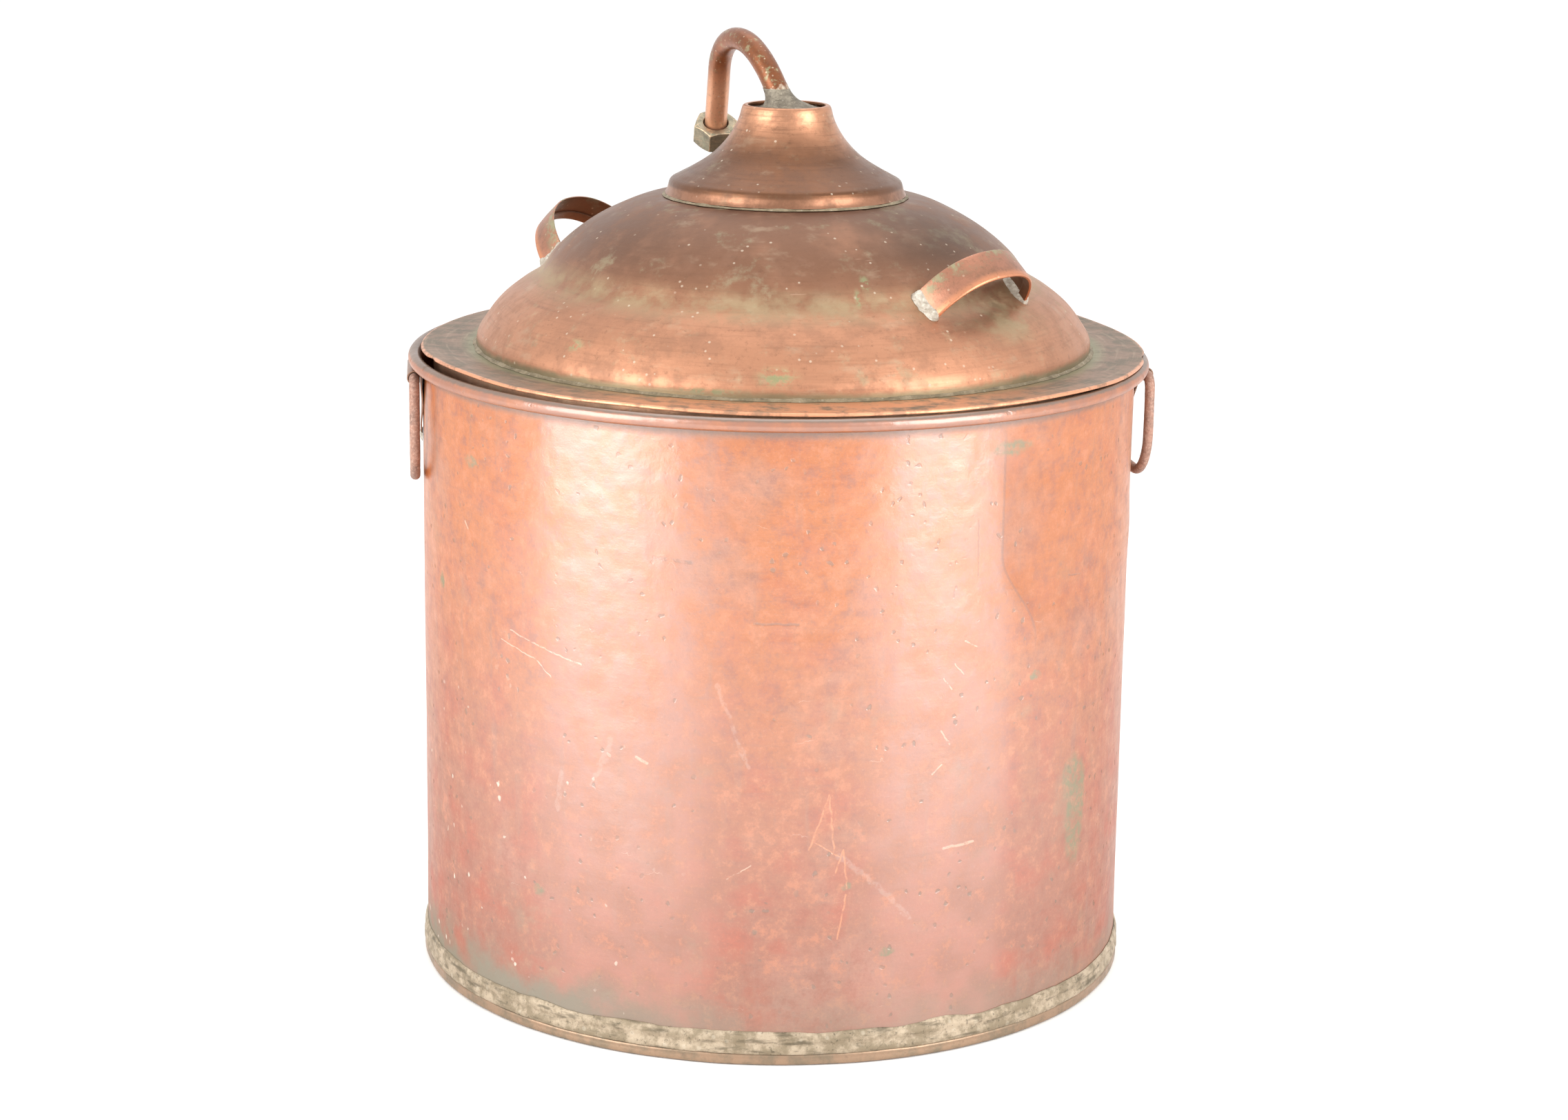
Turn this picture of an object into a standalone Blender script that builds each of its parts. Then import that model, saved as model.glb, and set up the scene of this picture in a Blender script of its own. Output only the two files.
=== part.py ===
"""Copper alembic still: a cylindrical pot with a rolled rim and two ring handles, and a lift-off
still head with a flange, an ogee dome, a trumpet neck, two strap handles and a swan-neck pipe that
ends in a union nut.  Units are metres, +Z is up, and the origin is the centre of the pot's base."""

import bmesh
import bpy
from math import cos, pi, radians, sin, sqrt, tan
from mathutils import Matrix, Vector

MM = 0.001
GAP = 0.3 * MM              # clearance left between neighbouring solids
SEGMENTS = 60               # facets round the large turned pieces
SMALL_SEGMENTS = 40         # facets round the small turned pieces

# Pot
WALL_R = 225.0 * MM         # outer radius of the wall
SHEET = 0.9 * MM            # thickness of the copper sheet
WALL_FOOT_Z = 1.6 * MM
WALL_BEND_Z = 382.0 * MM    # where the wall starts to lean out into the bead
BEAD_R = 229.6 * MM         # radius of the circle on which the bead's centre lies
BEAD_Z = 389.8 * MM
BEAD_TUBE = 4.3 * MM        # outer radius of the bead's section
WIRE_TUBE = 3.0 * MM        # radius of the wire in the bead
PAN_R = 227.0 * MM          # radius of the turned-up edge of the bottom
PAN_SHEET = 1.2 * MM
PAN_EDGE_Z = 6.5 * MM
SOLDER_TOP_Z = 21.0 * MM
SEAM_WIDTH = 9.0 * MM
SEAM_HEIGHT = 0.8 * MM

# Ring handles
RING_AZIMUTH = (("right", 6.0, 4.0), ("left", 186.0, 0.0))   # name, azimuth, skew of the clip (degrees)
HINGE_R = 230.0 * MM        # distance of the hinge axis from the pot's axis
HINGE_Z = 380.6 * MM
ROD_R = 3.3 * MM
RING_HALF_WIDTH = 36.0 * MM
RING_DROP = 65.0 * MM
RING_TOP_CORNER = 8.0 * MM
RING_LOW_CORNER = 29.0 * MM
CLIP_BORE_R = 3.6 * MM
CLIP_SHEET = 0.8 * MM
CLIP_HALF_LENGTH = 27.0 * MM
TONGUE_DROP = 38.0 * MM
TONGUE_TIP_HALF = 8.0 * MM
TONGUE_STATIONS = (1.0, 0.8, 0.6, 0.4, 0.22)   # shares of the drop, from the tip up
CURL_STEPS = 14

# Still head
LID_SHIFT = 2.8 * MM        # the head sits this far off the pot's axis
FLANGE_R = 228.4 * MM
FLANGE_TOP_Z = 396.6 * MM
FLANGE_LIP_Z = 394.5 * MM
FLANGE_BORE_R = 191.0 * MM
SKIRT_R = 220.6 * MM
SKIRT_LOW_Z = 370.0 * MM
DOME_SHEET = 1.0 * MM
# outer profile of the dome, radius and height in millimetres, from the flange up to the neck
DOME_POINTS = ((193.6, 397.4), (193.3, 403.8), (188.1, 412.9), (180.2, 423.1), (166.9, 434.0),
               (154.7, 441.8), (144.0, 455.4), (127.9, 469.3), (108.1, 481.1), (85.2, 489.8),
               (74.0, 491.6))
DOME_LIP = ((72.4, 492.4), (70.6, 498.6))
# outer profile of the neck, from the foot of its collar up to the rim
NECK_POINTS = ((75.6, 492.6), (73.8, 496.2), (72.2, 500.8), (61.1, 507.0), (45.5, 517.3),
               (34.2, 530.5), (29.4, 540.5), (28.2, 545.0), (27.2, 547.2), (25.4, 547.8))
NECK_SHEET = 1.2 * MM
CAP_R = 26.5 * MM
CAP_Z = 544.0 * MM
CAP_SHEET = 1.0 * MM
CAP_HOLE_GAP = 0.9 * MM     # clearance round the pipe in the cap's hole
# solder mound on the cap: height above the cap and radius of each level, and the middle of its foot
MOUND_LEVELS = ((0.0, 18.0), (1.4, 17.0), (4.0, 11.6), (6.8, 9.4), (9.5, 8.3))
MOUND_FOOT = (2.0 * MM, -1.5 * MM)
MOUND_LEAST = 1.09          # least radius of the mound, in radii of the hole for the pipe

# Swan-neck pipe
PIPE_R = 7.5 * MM
PIPE_BORE_R = 6.5 * MM
PIPE_FOOT = Vector((-2.35, -5.2, 546.8)) * MM
PIPE_LEAN = 23.7            # lean of the pipe where it leaves the cap, degrees
PIPE_LEAN_AZIMUTH = 143.3   # direction of that lean, degrees from +X
PIPE_ROLL = -30.4           # turn of the plane of the bends about the pipe, degrees
PIPE_BENDS = ((66.7 * MM, 30.0, 6), (47.2 * MM, 98.9, 15))   # radius, angle, steps of each bend
PIPE_TAIL = 52.0 * MM       # straight run after the bends, into the nut
PIPE_ROOT = 8.0 * MM        # run of pipe below the cap

# Union nut and ferrule
NUT_FLATS = 25.4 * MM
NUT_HEIGHT = 15.0 * MM
NUT_BORE_R = 8.2 * MM
NUT_COLLAR = 3.6 * MM       # thickness of the end that bears on the ferrule
NUT_THREAD_R = 10.4 * MM
NUT_TURN = 12.0             # corner position about its axis, degrees
NUT_CHAMFER = 28.0          # slope of the chamfer on its closed end, degrees
FERRULE_R = 9.8 * MM
FERRULE_HEIGHT = 4.6 * MM

# Strap handles: azimuth, radius and height of the chord's middle, chord, rise, slope, width,
# and how far above the chord the strap's ends stop
STRAPS = (("right", -41.5, 147.9 * MM, 440.6 * MM, 89.1 * MM, 36.0 * MM, 41.4, 20.8 * MM, 5.0 * MM),
          ("left", 146.7, 148.5 * MM, 441.7 * MM, 88.0 * MM, 37.5 * MM, 44.6, 21.4 * MM, 4.8 * MM))
STRAP_SHEET = 1.1 * MM
STRAP_HEM = 7.0 * MM
STRAP_STEPS = 22
FOOT_SOLDER_HALF = 4.6 * MM
FOOT_LIFT = 0.5 * MM        # clearance between that solder and the dome


def clear_scene():
    for thing in list(bpy.data.objects):
        bpy.data.objects.remove(thing, do_unlink=True)


def material(name, colour, roughness, metallic):
    made = bpy.data.materials.new(name)
    made.use_nodes = True
    shader = made.node_tree.nodes["Principled BSDF"]
    shader.inputs["Base Color"].default_value = (*colour, 1.0)
    shader.inputs["Roughness"].default_value = roughness
    shader.inputs["Metallic"].default_value = metallic
    return made


def empty(name, location=(0.0, 0.0, 0.0)):
    made = bpy.data.objects.new(name, None)
    made.location = location
    bpy.context.scene.collection.objects.link(made)
    return made


def finish_mesh(name, bm, mat, parent=None, smooth=40.0):
    """Turn a bmesh into a named object with outward faces."""
    bmesh.ops.recalc_face_normals(bm, faces=bm.faces)
    if bm.calc_volume(signed=True) < 0:
        bmesh.ops.reverse_faces(bm, faces=bm.faces)
    mesh = bpy.data.meshes.new(name)
    bm.to_mesh(mesh)
    bm.free()
    mesh.shade_smooth()
    mesh.set_sharp_from_angle(angle=radians(smooth))
    made = bpy.data.objects.new(name, mesh)
    if mat is not None:
        mesh.materials.append(mat)
    bpy.context.scene.collection.objects.link(made)
    if parent is not None:
        made.parent = parent
    return made


def loft(name, loops, mat, cyclic=False, parent=None, smooth=40.0):
    """Skin a row of equal loops of points; the ends are capped, or joined when cyclic."""
    bm = bmesh.new()
    rings = [[bm.verts.new(p) for p in loop] for loop in loops]
    count = len(rings[0])
    pairs = list(zip(rings, rings[1:]))
    if cyclic:
        pairs.append((rings[-1], rings[0]))
    for low, high in pairs:
        for i in range(count):
            j = (i + 1) % count
            bm.faces.new((low[i], low[j], high[j], high[i]))
    if not cyclic:
        bm.faces.new(list(reversed(rings[0])))
        bm.faces.new(rings[-1])
    return finish_mesh(name, bm, mat, parent, smooth)


def circle(radius, z, segments):
    turns = [2 * pi * i / segments for i in range(segments)]
    return [Vector((radius * cos(a), radius * sin(a), z)) for a in turns]


def turned(name, profile, mat, segments=SEGMENTS, cyclic=True, parent=None, smooth=40.0):
    """Turn a profile of (radius, height) about Z; cyclic profiles enclose a ring or a shell."""
    return loft(name, [circle(r, z, segments) for r, z in profile], mat, cyclic, parent, smooth)


def offset_side(points, distance):
    """The open 2-D line moved sideways: a positive distance goes to its left."""
    out = []
    for i, p in enumerate(points):
        back = points[max(i - 1, 0)]
        ahead = points[min(i + 1, len(points) - 1)]
        run = (ahead - back).normalized()
        out.append(p + Vector((-run.y, run.x)) * distance)
    return out


def shell(name, outer, thickness, mat, segments=SEGMENTS, parent=None):
    """A turned shell from the outer line (going up and inwards), with its inner side at its left."""
    inner = offset_side(outer, thickness)
    return turned(name, [tuple(p) for p in outer] + [tuple(p) for p in reversed(inner)],
                  mat, segments, True, parent)


def frames_along(path, cyclic=False):
    """A steadily carried pair of side directions for each point of a path."""
    count = len(path)
    tangents = []
    for i in range(count):
        ahead = path[(i + 1) % count] if cyclic else path[min(i + 1, count - 1)]
        back = path[i - 1] if cyclic else path[max(i - 1, 0)]
        tangents.append((ahead - back).normalized())
    side = tangents[0].orthogonal().normalized()
    out = []
    for i, tangent in enumerate(tangents):
        if i:
            side = tangents[i - 1].rotation_difference(tangent) @ side
        side = (side - tangent * side.dot(tangent)).normalized()
        out.append((side, tangent.cross(side)))
    return out


def rings_along(path, frames, radius, sides):
    return [[p + (a * cos(2 * pi * k / sides) + b * sin(2 * pi * k / sides)) * radius
             for k in range(sides)] for p, (a, b) in zip(path, frames)]


def pot_wall(mat, parent):
    """Wall sheet with its top rolled outwards over the wire, as one turned strip."""
    curl_mid = BEAD_TUBE - SHEET / 2
    line = [Vector((WALL_R - SHEET / 2, z)) for z in (WALL_FOOT_Z, 130 * MM, 260 * MM, WALL_BEND_Z)]
    roll_steps = 9
    first, last = radians(176.0), radians(-98.0)
    for k in range(roll_steps + 1):
        a = first + (last - first) * k / roll_steps
        line.append(Vector((BEAD_R + curl_mid * cos(a), BEAD_Z + curl_mid * sin(a))))
    left = offset_side(line, SHEET / 2)
    right = offset_side(line, -SHEET / 2)
    profile = [tuple(p) for p in left] + [tuple(p) for p in reversed(right)]
    return turned("pot_wall", profile, mat, parent=parent)


def rim_wire(mat, parent):
    """Wire that stiffens the bead, lying loose inside it."""
    turns = [2 * pi * k / 6 for k in range(6)]
    profile = [(BEAD_R + WIRE_TUBE * cos(a), BEAD_Z + WIRE_TUBE * sin(a)) for a in turns]
    return turned("rim_wire", profile, mat, parent=parent)


def bottom_pan(mat, parent):
    corner = 1.5 * MM
    profile = [(PAN_R - corner - 1.0 * MM, 0.0), (PAN_R - 0.4 * MM, 0.5 * MM), (PAN_R, corner),
               (PAN_R, PAN_EDGE_Z), (PAN_R - PAN_SHEET, PAN_EDGE_Z),
               (PAN_R - PAN_SHEET, PAN_SHEET)]
    return turned("bottom_pan", profile, mat, cyclic=False, parent=parent)


def bottom_solder(mat, parent):
    """Wiped band with two ridges, from the pan's edge up the wall."""
    inner = WALL_R + GAP
    profile = [(inner, PAN_EDGE_Z + GAP), (PAN_R - 0.1 * MM, PAN_EDGE_Z + GAP),
               (PAN_R + 0.4 * MM, 9.0 * MM), (PAN_R - 0.2 * MM, 11.8 * MM),
               (PAN_R + 0.1 * MM, 14.6 * MM), (PAN_R - 0.6 * MM, 18.4 * MM),
               (inner + 0.25 * MM, SOLDER_TOP_Z), (inner, SOLDER_TOP_Z)]
    return turned("bottom_solder", profile, mat, parent=parent)


def seam_solder(mat, parent):
    """Raised line of solder down the lap at the back of the wall."""
    half = SEAM_WIDTH / 2
    base = WALL_R + GAP
    loops = []
    for z in (SOLDER_TOP_Z + GAP, 120 * MM, 240 * MM, WALL_BEND_Z - 3 * MM):
        section = ((-half, 0.0), (half, 0.0), (half * 0.5, SEAM_HEIGHT), (-half * 0.5, SEAM_HEIGHT))
        loops.append([Vector((x, base + y, z)) for x, y in section])
    return loft("seam_solder", loops, mat, parent=parent)


def handle_basis(azimuth, skew=0.0):
    """Outward and sideways directions at an azimuth, the sideways one turned by the skew."""
    out = Vector((cos(radians(azimuth)), sin(radians(azimuth)), 0.0))
    along = Vector((-sin(radians(azimuth + skew)), cos(radians(azimuth + skew)), 0.0))
    return out, along


def ring_handle(name, azimuth, skew, mat, parent):
    """Closed rod loop hanging from its straight top bar; its origin lies on the hinge axis."""
    out, along = handle_basis(azimuth, skew)
    down = Vector((0.0, 0.0, -1.0))
    w, h, top, low = RING_HALF_WIDTH, RING_DROP, RING_TOP_CORNER, RING_LOW_CORNER
    # centre across, centre down, radius, first angle and steps of each quarter turn
    corners = ((w - top, top, top, -90, 4), (w - low, h - low, low, 0, 7),
               (low - w, h - low, low, 90, 7), (top - w, top, top, 180, 4))
    path = []
    for across, deep, radius, first, steps in corners:
        for k in range(steps + 1):
            a = radians(first + 90 * k / steps)
            path.append(along * (across + radius * cos(a)) + down * (deep + radius * sin(a)))
    frames = frames_along(path, cyclic=True)
    made = loft(name, rings_along(path, frames, ROD_R, 8), mat, cyclic=True, parent=parent)
    made.location = out * HINGE_R + Vector((0.0, 0.0, HINGE_Z))
    return made


def clip_line():
    """Middle line of the clip in radius and height: up the tongue, then round the bar."""
    mid = CLIP_BORE_R + CLIP_SHEET / 2
    tongue_r = WALL_R + 0.45 * MM + CLIP_SHEET / 2
    line = [Vector((tongue_r, HINGE_Z - TONGUE_DROP * f)) for f in TONGUE_STATIONS]
    for k in range(CURL_STEPS + 1):
        a = radians(176.0 - 318.0 * k / CURL_STEPS)
        line.append(Vector((HINGE_R + mid * cos(a), HINGE_Z + mid * sin(a))))
    return line


def ring_clip(name, azimuth, skew, mat, parent):
    """Sheet clip: the tongue follows the wall and tapers, the curl is straight along the bar."""
    out, along = handle_basis(azimuth, skew)
    _, square = handle_basis(azimuth)
    line = clip_line()
    left = offset_side(line, CLIP_SHEET / 2)
    right = offset_side(line, -CLIP_SHEET / 2)
    stations = list(TONGUE_STATIONS) + [0.0] * (CURL_STEPS + 1)
    across = [k / 3.0 for k in range(-3, 4)]
    loops = []
    for far, near, tongue in zip(left, right, stations):
        half = CLIP_HALF_LENGTH + (TONGUE_TIP_HALF - CLIP_HALF_LENGTH) * tongue ** 1.3
        wrap = min(tongue / 0.5, 1.0)
        loop = []
        for side, order in ((near, across), (far, across[::-1])):
            for u in order:
                shift = u * half
                sag = (WALL_R - sqrt(WALL_R ** 2 - shift ** 2)) * wrap
                loop.append(out * (side.x - sag) + along.lerp(square, wrap) * shift
                            + Vector((0.0, 0.0, side.y)))
        loops.append(loop)
    return loft(name, loops, mat, parent=parent)


def clip_solder(name, azimuth, mat, parent):
    """Low mound of solder round the tip of the tongue."""
    out, along = handle_basis(azimuth)
    z_top = HINGE_Z - TONGUE_DROP - GAP
    loops = []
    for depth, half, proud in ((0.0, 9.5, 1.3), (2.0, 9.0, 1.6), (4.5, 6.5, 1.2), (7.0, 2.5, 0.5)):
        loop = []
        for u in (-1.0, -0.5, 0.0, 0.5, 1.0):
            shift = u * half * MM
            wall = sqrt(WALL_R ** 2 - shift ** 2) + GAP
            loop.append((shift, wall + proud * MM * (1.0 - 0.75 * u * u)))
        for u in (1.0, 0.5, 0.0, -0.5, -1.0):
            shift = u * half * MM
            loop.append((shift, sqrt(WALL_R ** 2 - shift ** 2) + GAP))
        loops.append([out * r + along * s + Vector((0.0, 0.0, z_top - depth * MM)) for s, r in loop])
    return loft(name, loops, mat, parent=parent)


def lid_flange(mat, parent):
    """Flat ring with a short turned-down outer edge."""
    t = SHEET
    profile = [(FLANGE_R, FLANGE_LIP_Z), (FLANGE_R, FLANGE_TOP_Z - 0.5 * MM),
               (FLANGE_R - 0.5 * MM, FLANGE_TOP_Z), (FLANGE_BORE_R, FLANGE_TOP_Z),
               (FLANGE_BORE_R, FLANGE_TOP_Z - t), (FLANGE_R - t, FLANGE_TOP_Z - t),
               (FLANGE_R - t, FLANGE_LIP_Z)]
    return turned("lid_flange", profile, mat, parent=parent)


def lid_skirt(mat, parent):
    top = FLANGE_TOP_Z - SHEET - GAP
    profile = [(SKIRT_R, SKIRT_LOW_Z), (SKIRT_R, top), (SKIRT_R - SHEET - 5 * MM, top),
               (SKIRT_R - SHEET - 5 * MM, top - SHEET), (SKIRT_R - SHEET, top - SHEET),
               (SKIRT_R - SHEET, SKIRT_LOW_Z)]
    return turned("lid_skirt", profile, mat, parent=parent)


def dome_line():
    return [Vector(p) * MM for p in DOME_POINTS + DOME_LIP]


def dome_height(radius):
    """Height of the dome's outer surface at a radius."""
    line = dome_line()
    for a, b in zip(line, line[1:]):
        if b.x <= radius <= a.x and a.x > b.x:
            return a.y + (b.y - a.y) * (radius - a.x) / (b.x - a.x)
    return line[0].y


def fillet_ring(name, radius, z, width, height, mat, parent):
    profile = [(radius, z), (radius + width, z), (radius + width * 0.45, z + height * 0.35),
               (radius, z + height)]
    return turned(name, profile, mat, parent=parent)


def neck_cone(mat, parent):
    line = [Vector(p) * MM for p in NECK_POINTS]
    return shell("neck_cone", line, NECK_SHEET, mat, SMALL_SEGMENTS, parent)


def pipe_start():
    lean, azimuth = radians(PIPE_LEAN), radians(PIPE_LEAN_AZIMUTH)
    run = Vector((sin(lean) * cos(azimuth), sin(lean) * sin(azimuth), cos(lean)))
    toward = Vector((cos(azimuth) * cos(lean), sin(azimuth) * cos(lean), -sin(lean)))
    bend = toward * cos(radians(PIPE_ROLL)) + run.cross(toward) * sin(radians(PIPE_ROLL))
    return run, bend


def pipe_path():
    """Centre line of the swan neck, then the point and direction of its end."""
    run, bend = pipe_start()
    at = PIPE_FOOT.copy()
    path = [at - run * PIPE_ROOT, at.copy()]
    for radius, angle, steps in PIPE_BENDS:
        centre = at + bend * radius
        for k in range(1, steps + 1):
            a = radians(angle) * k / steps
            path.append(centre - bend * radius * cos(a) + run * radius * sin(a))
        a = radians(angle)
        at = path[-1].copy()
        run, bend = run * cos(a) + bend * sin(a), bend * cos(a) - run * sin(a)
    path.append(at + run * PIPE_TAIL)
    return path, run


def swan_neck(mat, parent):
    path, _ = pipe_path()
    frames = frames_along(path)
    sides = 12
    outer = rings_along(path, frames, PIPE_R, sides)
    inner = rings_along(path, frames, PIPE_BORE_R, sides)
    return loft("swan_neck", outer + inner[::-1], mat, cyclic=True, parent=parent)


def pipe_section(z, clearance, segments):
    """Level cut through the leaning foot of the pipe, with a clearance round it."""
    path, _ = pipe_path()
    low, high = next((p, q) for p, q in zip(path, path[1:]) if q.z > z)
    run = (high - low).normalized()
    centre = low + run * ((z - low.z) / run.z)
    lean = Vector((run.x, run.y, 0.0)).normalized()
    aside = Vector((-lean.y, lean.x, 0.0))
    r = PIPE_R + clearance
    loop = []
    for i in range(segments):
        turn = Vector((cos(2 * pi * i / segments), sin(2 * pi * i / segments), 0.0))
        loop.append(centre + lean * (turn.dot(lean) * r / run.z) + aside * (turn.dot(aside) * r))
    return loop


def cap_plate(mat, parent):
    z0, z1 = CAP_Z, CAP_Z + CAP_SHEET
    loops = [circle(CAP_R, z0, 32), circle(CAP_R, z1, 32),
             pipe_section(z1, CAP_HOLE_GAP, 32), pipe_section(z0, CAP_HOLE_GAP, 32)]
    return loft("cap_plate", loops, mat, cyclic=True, parent=parent)


def cap_solder(mat, parent):
    """Mound of solder, wide on the cap and drawn up the leaning pipe."""
    base_z = CAP_Z + CAP_SHEET + GAP
    outer = []
    for h, radius in MOUND_LEVELS:
        z = base_z + h * MM
        pipe = pipe_section(z, GAP + 0.15 * MM, 28)
        middle = sum(pipe, Vector()) / len(pipe)
        share = h / MOUND_LEVELS[-1][0]
        centre = Vector((*MOUND_FOOT, z)).lerp(middle, min(share * 1.8, 1.0))
        grown = []
        for i, inside in enumerate(pipe):
            a = 2 * pi * i / len(pipe)
            point = centre + Vector((cos(a), sin(a), 0.0)) * radius * MM
            least = middle + (inside - middle) * MOUND_LEAST
            buried = (point - middle).length < (least - middle).length
            grown.append(least if buried else point)
        outer.append(grown)
    inner = [pipe_section(base_z + h * MM, GAP, 28) for h, _ in MOUND_LEVELS]
    return loft("cap_solder", outer + inner[::-1], mat, cyclic=True, parent=parent)


def pipe_ferrule(mat, parent):
    path, run = pipe_path()
    bottom, top = path[-1], path[-1] - run * FERRULE_HEIGHT
    frames = frames_along([top, bottom])
    outer = rings_along([top, bottom], frames, FERRULE_R, 20)
    inner = rings_along([top, bottom], frames, PIPE_R + GAP, 20)
    return loft("pipe_ferrule", outer + inner[::-1], mat, cyclic=True, parent=parent)


def cutter(name, loops, parent, cyclic=False):
    made = loft(name, loops, None, cyclic=cyclic, parent=parent)
    made.hide_render = True
    made.display_type = "WIRE"
    return made


def add_boolean(target, tool, operation):
    mod = target.modifiers.new(tool.name, "BOOLEAN")
    mod.object = tool
    mod.operation = operation
    mod.solver = "EXACT"


def union_nut(mat, parent):
    """Hexagon with chamfered corners; local Z points back up the pipe, z = 0 at its open end."""
    corner = NUT_FLATS / sqrt(3.0)
    hexagon = [[Vector((corner * cos(radians(60 * k + NUT_TURN)),
                        corner * sin(radians(60 * k + NUT_TURN)), z)) for k in range(6)]
               for z in (0.0, NUT_HEIGHT)]
    made = loft("union_nut", hexagon, mat, parent=parent, smooth=30.0)
    flat = NUT_FLATS / 2
    rise = (corner + 1 * MM - flat * 0.97) * tan(radians(NUT_CHAMFER))
    over = 2 * MM
    form = [(flat * 0.9, -over), (corner + 1 * MM, -over), (corner + 1 * MM, NUT_HEIGHT - rise),
            (flat * 0.97, NUT_HEIGHT)]
    form_loops = [circle(r, z, SMALL_SEGMENTS) for r, z in form]
    bore = [(NUT_THREAD_R, -over), (NUT_THREAD_R, NUT_HEIGHT - NUT_COLLAR),
            (NUT_BORE_R, NUT_HEIGHT - NUT_COLLAR), (NUT_BORE_R, NUT_HEIGHT + over)]
    bore_loops = [circle(r, z, 24) for r, z in bore]
    chamfer = cutter("nut_chamfer_form", form_loops, parent)
    hole = cutter("nut_bore_form", bore_loops, parent)
    add_boolean(made, chamfer, "INTERSECT")
    add_boolean(made, hole, "DIFFERENCE")
    path, run = pipe_path()
    # the ferrule's upper face bears on the inside of the nut's collar
    reach = NUT_HEIGHT - NUT_COLLAR - FERRULE_HEIGHT - GAP
    place = Matrix.Translation(path[-1] + run * reach) @ (-run).to_track_quat("Z", "Y").to_matrix().to_4x4()
    for thing in (made, chamfer, hole):
        thing.matrix_local = place
    return made


def strap_frame(azimuth, radius, height, slope):
    out, along = handle_basis(azimuth)
    up = Vector((0.0, 0.0, 1.0))
    normal = out * sin(radians(slope)) + up * cos(radians(slope))
    across = out * cos(radians(slope)) - up * sin(radians(slope))
    return out * radius + up * height, along, normal, across


def arch(share, chord, rise):
    return share * chord / 2, rise * max(1.0 - abs(share) ** 2.2, 0.0) ** 0.6


def strap_shares(rise, foot):
    """Positions along the chord, crowded towards the feet, from foot to foot."""
    lowest = (1.0 - (foot / rise) ** (1 / 0.6)) ** (1 / 2.2)
    limit = pi / 2
    return [lowest * sin(-limit + 2 * limit * k / STRAP_STEPS) for k in range(STRAP_STEPS + 1)]


def strap_handle(name, azimuth, radius, height, chord, rise, slope, width, foot, mat, parent):
    """Arched strap; its outer lower edge is folded back inside, so it is double there."""
    middle, along, normal, across = strap_frame(azimuth, radius, height, slope)
    half = width / 2
    section = ((-half, 0.0), (half - 0.6 * MM, 0.0), (half, 0.9 * MM), (half - 0.6 * MM, 2 * STRAP_SHEET),
               (half - STRAP_HEM, 2 * STRAP_SHEET), (half - STRAP_HEM, STRAP_SHEET), (-half, STRAP_SHEET))
    line = [Vector(arch(s, chord, rise)) for s in strap_shares(rise, foot)]
    loops = []
    for i, p in enumerate(line):
        back, ahead = line[max(i - 1, 0)], line[min(i + 1, len(line) - 1)]
        run = (ahead - back).normalized()
        if i in (0, len(line) - 1):
            run = Vector((0.0, 1.0 if i == 0 else -1.0))    # the ends are cut level
        inward = Vector((run.y, -run.x))
        loop = []
        for w, depth in section:
            q = p + inward * depth
            loop.append(middle + along * q.x + normal * q.y + across * w)
        loops.append(loop)
    return loft(name, loops, mat, parent=parent)


def drop_to_dome(point, normal):
    """The point moved along the normal until it lies on the dome's outer surface."""
    for _ in range(12):
        radius = sqrt(point.x ** 2 + point.y ** 2)
        point = point + normal * ((dome_height(radius) - point.z) * normal.z)
    return point


def strap_foot(name, side, azimuth, radius, height, chord, rise, slope, width, foot, mat, parent):
    """Wedge of solder between one end of the strap and the dome."""
    middle, along, normal, across = strap_frame(azimuth, radius, height, slope)
    end_x, end_y = arch(strap_shares(rise, foot)[-1] * side, chord, rise)
    end_x -= side * 0.8 * STRAP_SHEET
    top_half, low_half = 1.5 * MM, FOOT_SOLDER_HALF
    loops = []
    for k in range(7):
        w = (k / 3.0 - 1.0) * (width / 2 + 1.0 * MM)
        low = [drop_to_dome(middle + along * (end_x + x) + across * w, normal) + normal * FOOT_LIFT
               for x in (-low_half, 0.0, low_half)]
        high = [middle + along * (end_x + x) + across * w + normal * (end_y - GAP)
                for x in (top_half, -top_half)]
        for i, p in enumerate(high):
            short = (low[1] - p).dot(normal) + 0.3 * MM
            if short > 0:
                high[i] = p + normal * short
        loops.append(low + high)
    return loft(name, loops, mat, parent=parent)


# colour, roughness and metallic value of each finish
FINISHES = {"wall": ((0.80, 0.42, 0.27), 0.34, 1.0), "dusty": ((0.42, 0.27, 0.20), 0.55, 0.8),
            "bright": ((0.86, 0.46, 0.28), 0.30, 1.0), "pipe": ((0.66, 0.33, 0.19), 0.40, 0.9),
            "band": ((0.62, 0.60, 0.50), 0.70, 0.3), "white": ((0.80, 0.77, 0.70), 0.60, 0.3),
            "grey": ((0.40, 0.36, 0.31), 0.65, 0.4), "iron": ((0.28, 0.20, 0.17), 0.70, 0.5),
            "brass": ((0.42, 0.33, 0.24), 0.50, 0.8)}


def finish(name, kind):
    colour, roughness, metallic = FINISHES[kind]
    return material(name, colour, roughness, metallic)


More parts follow.
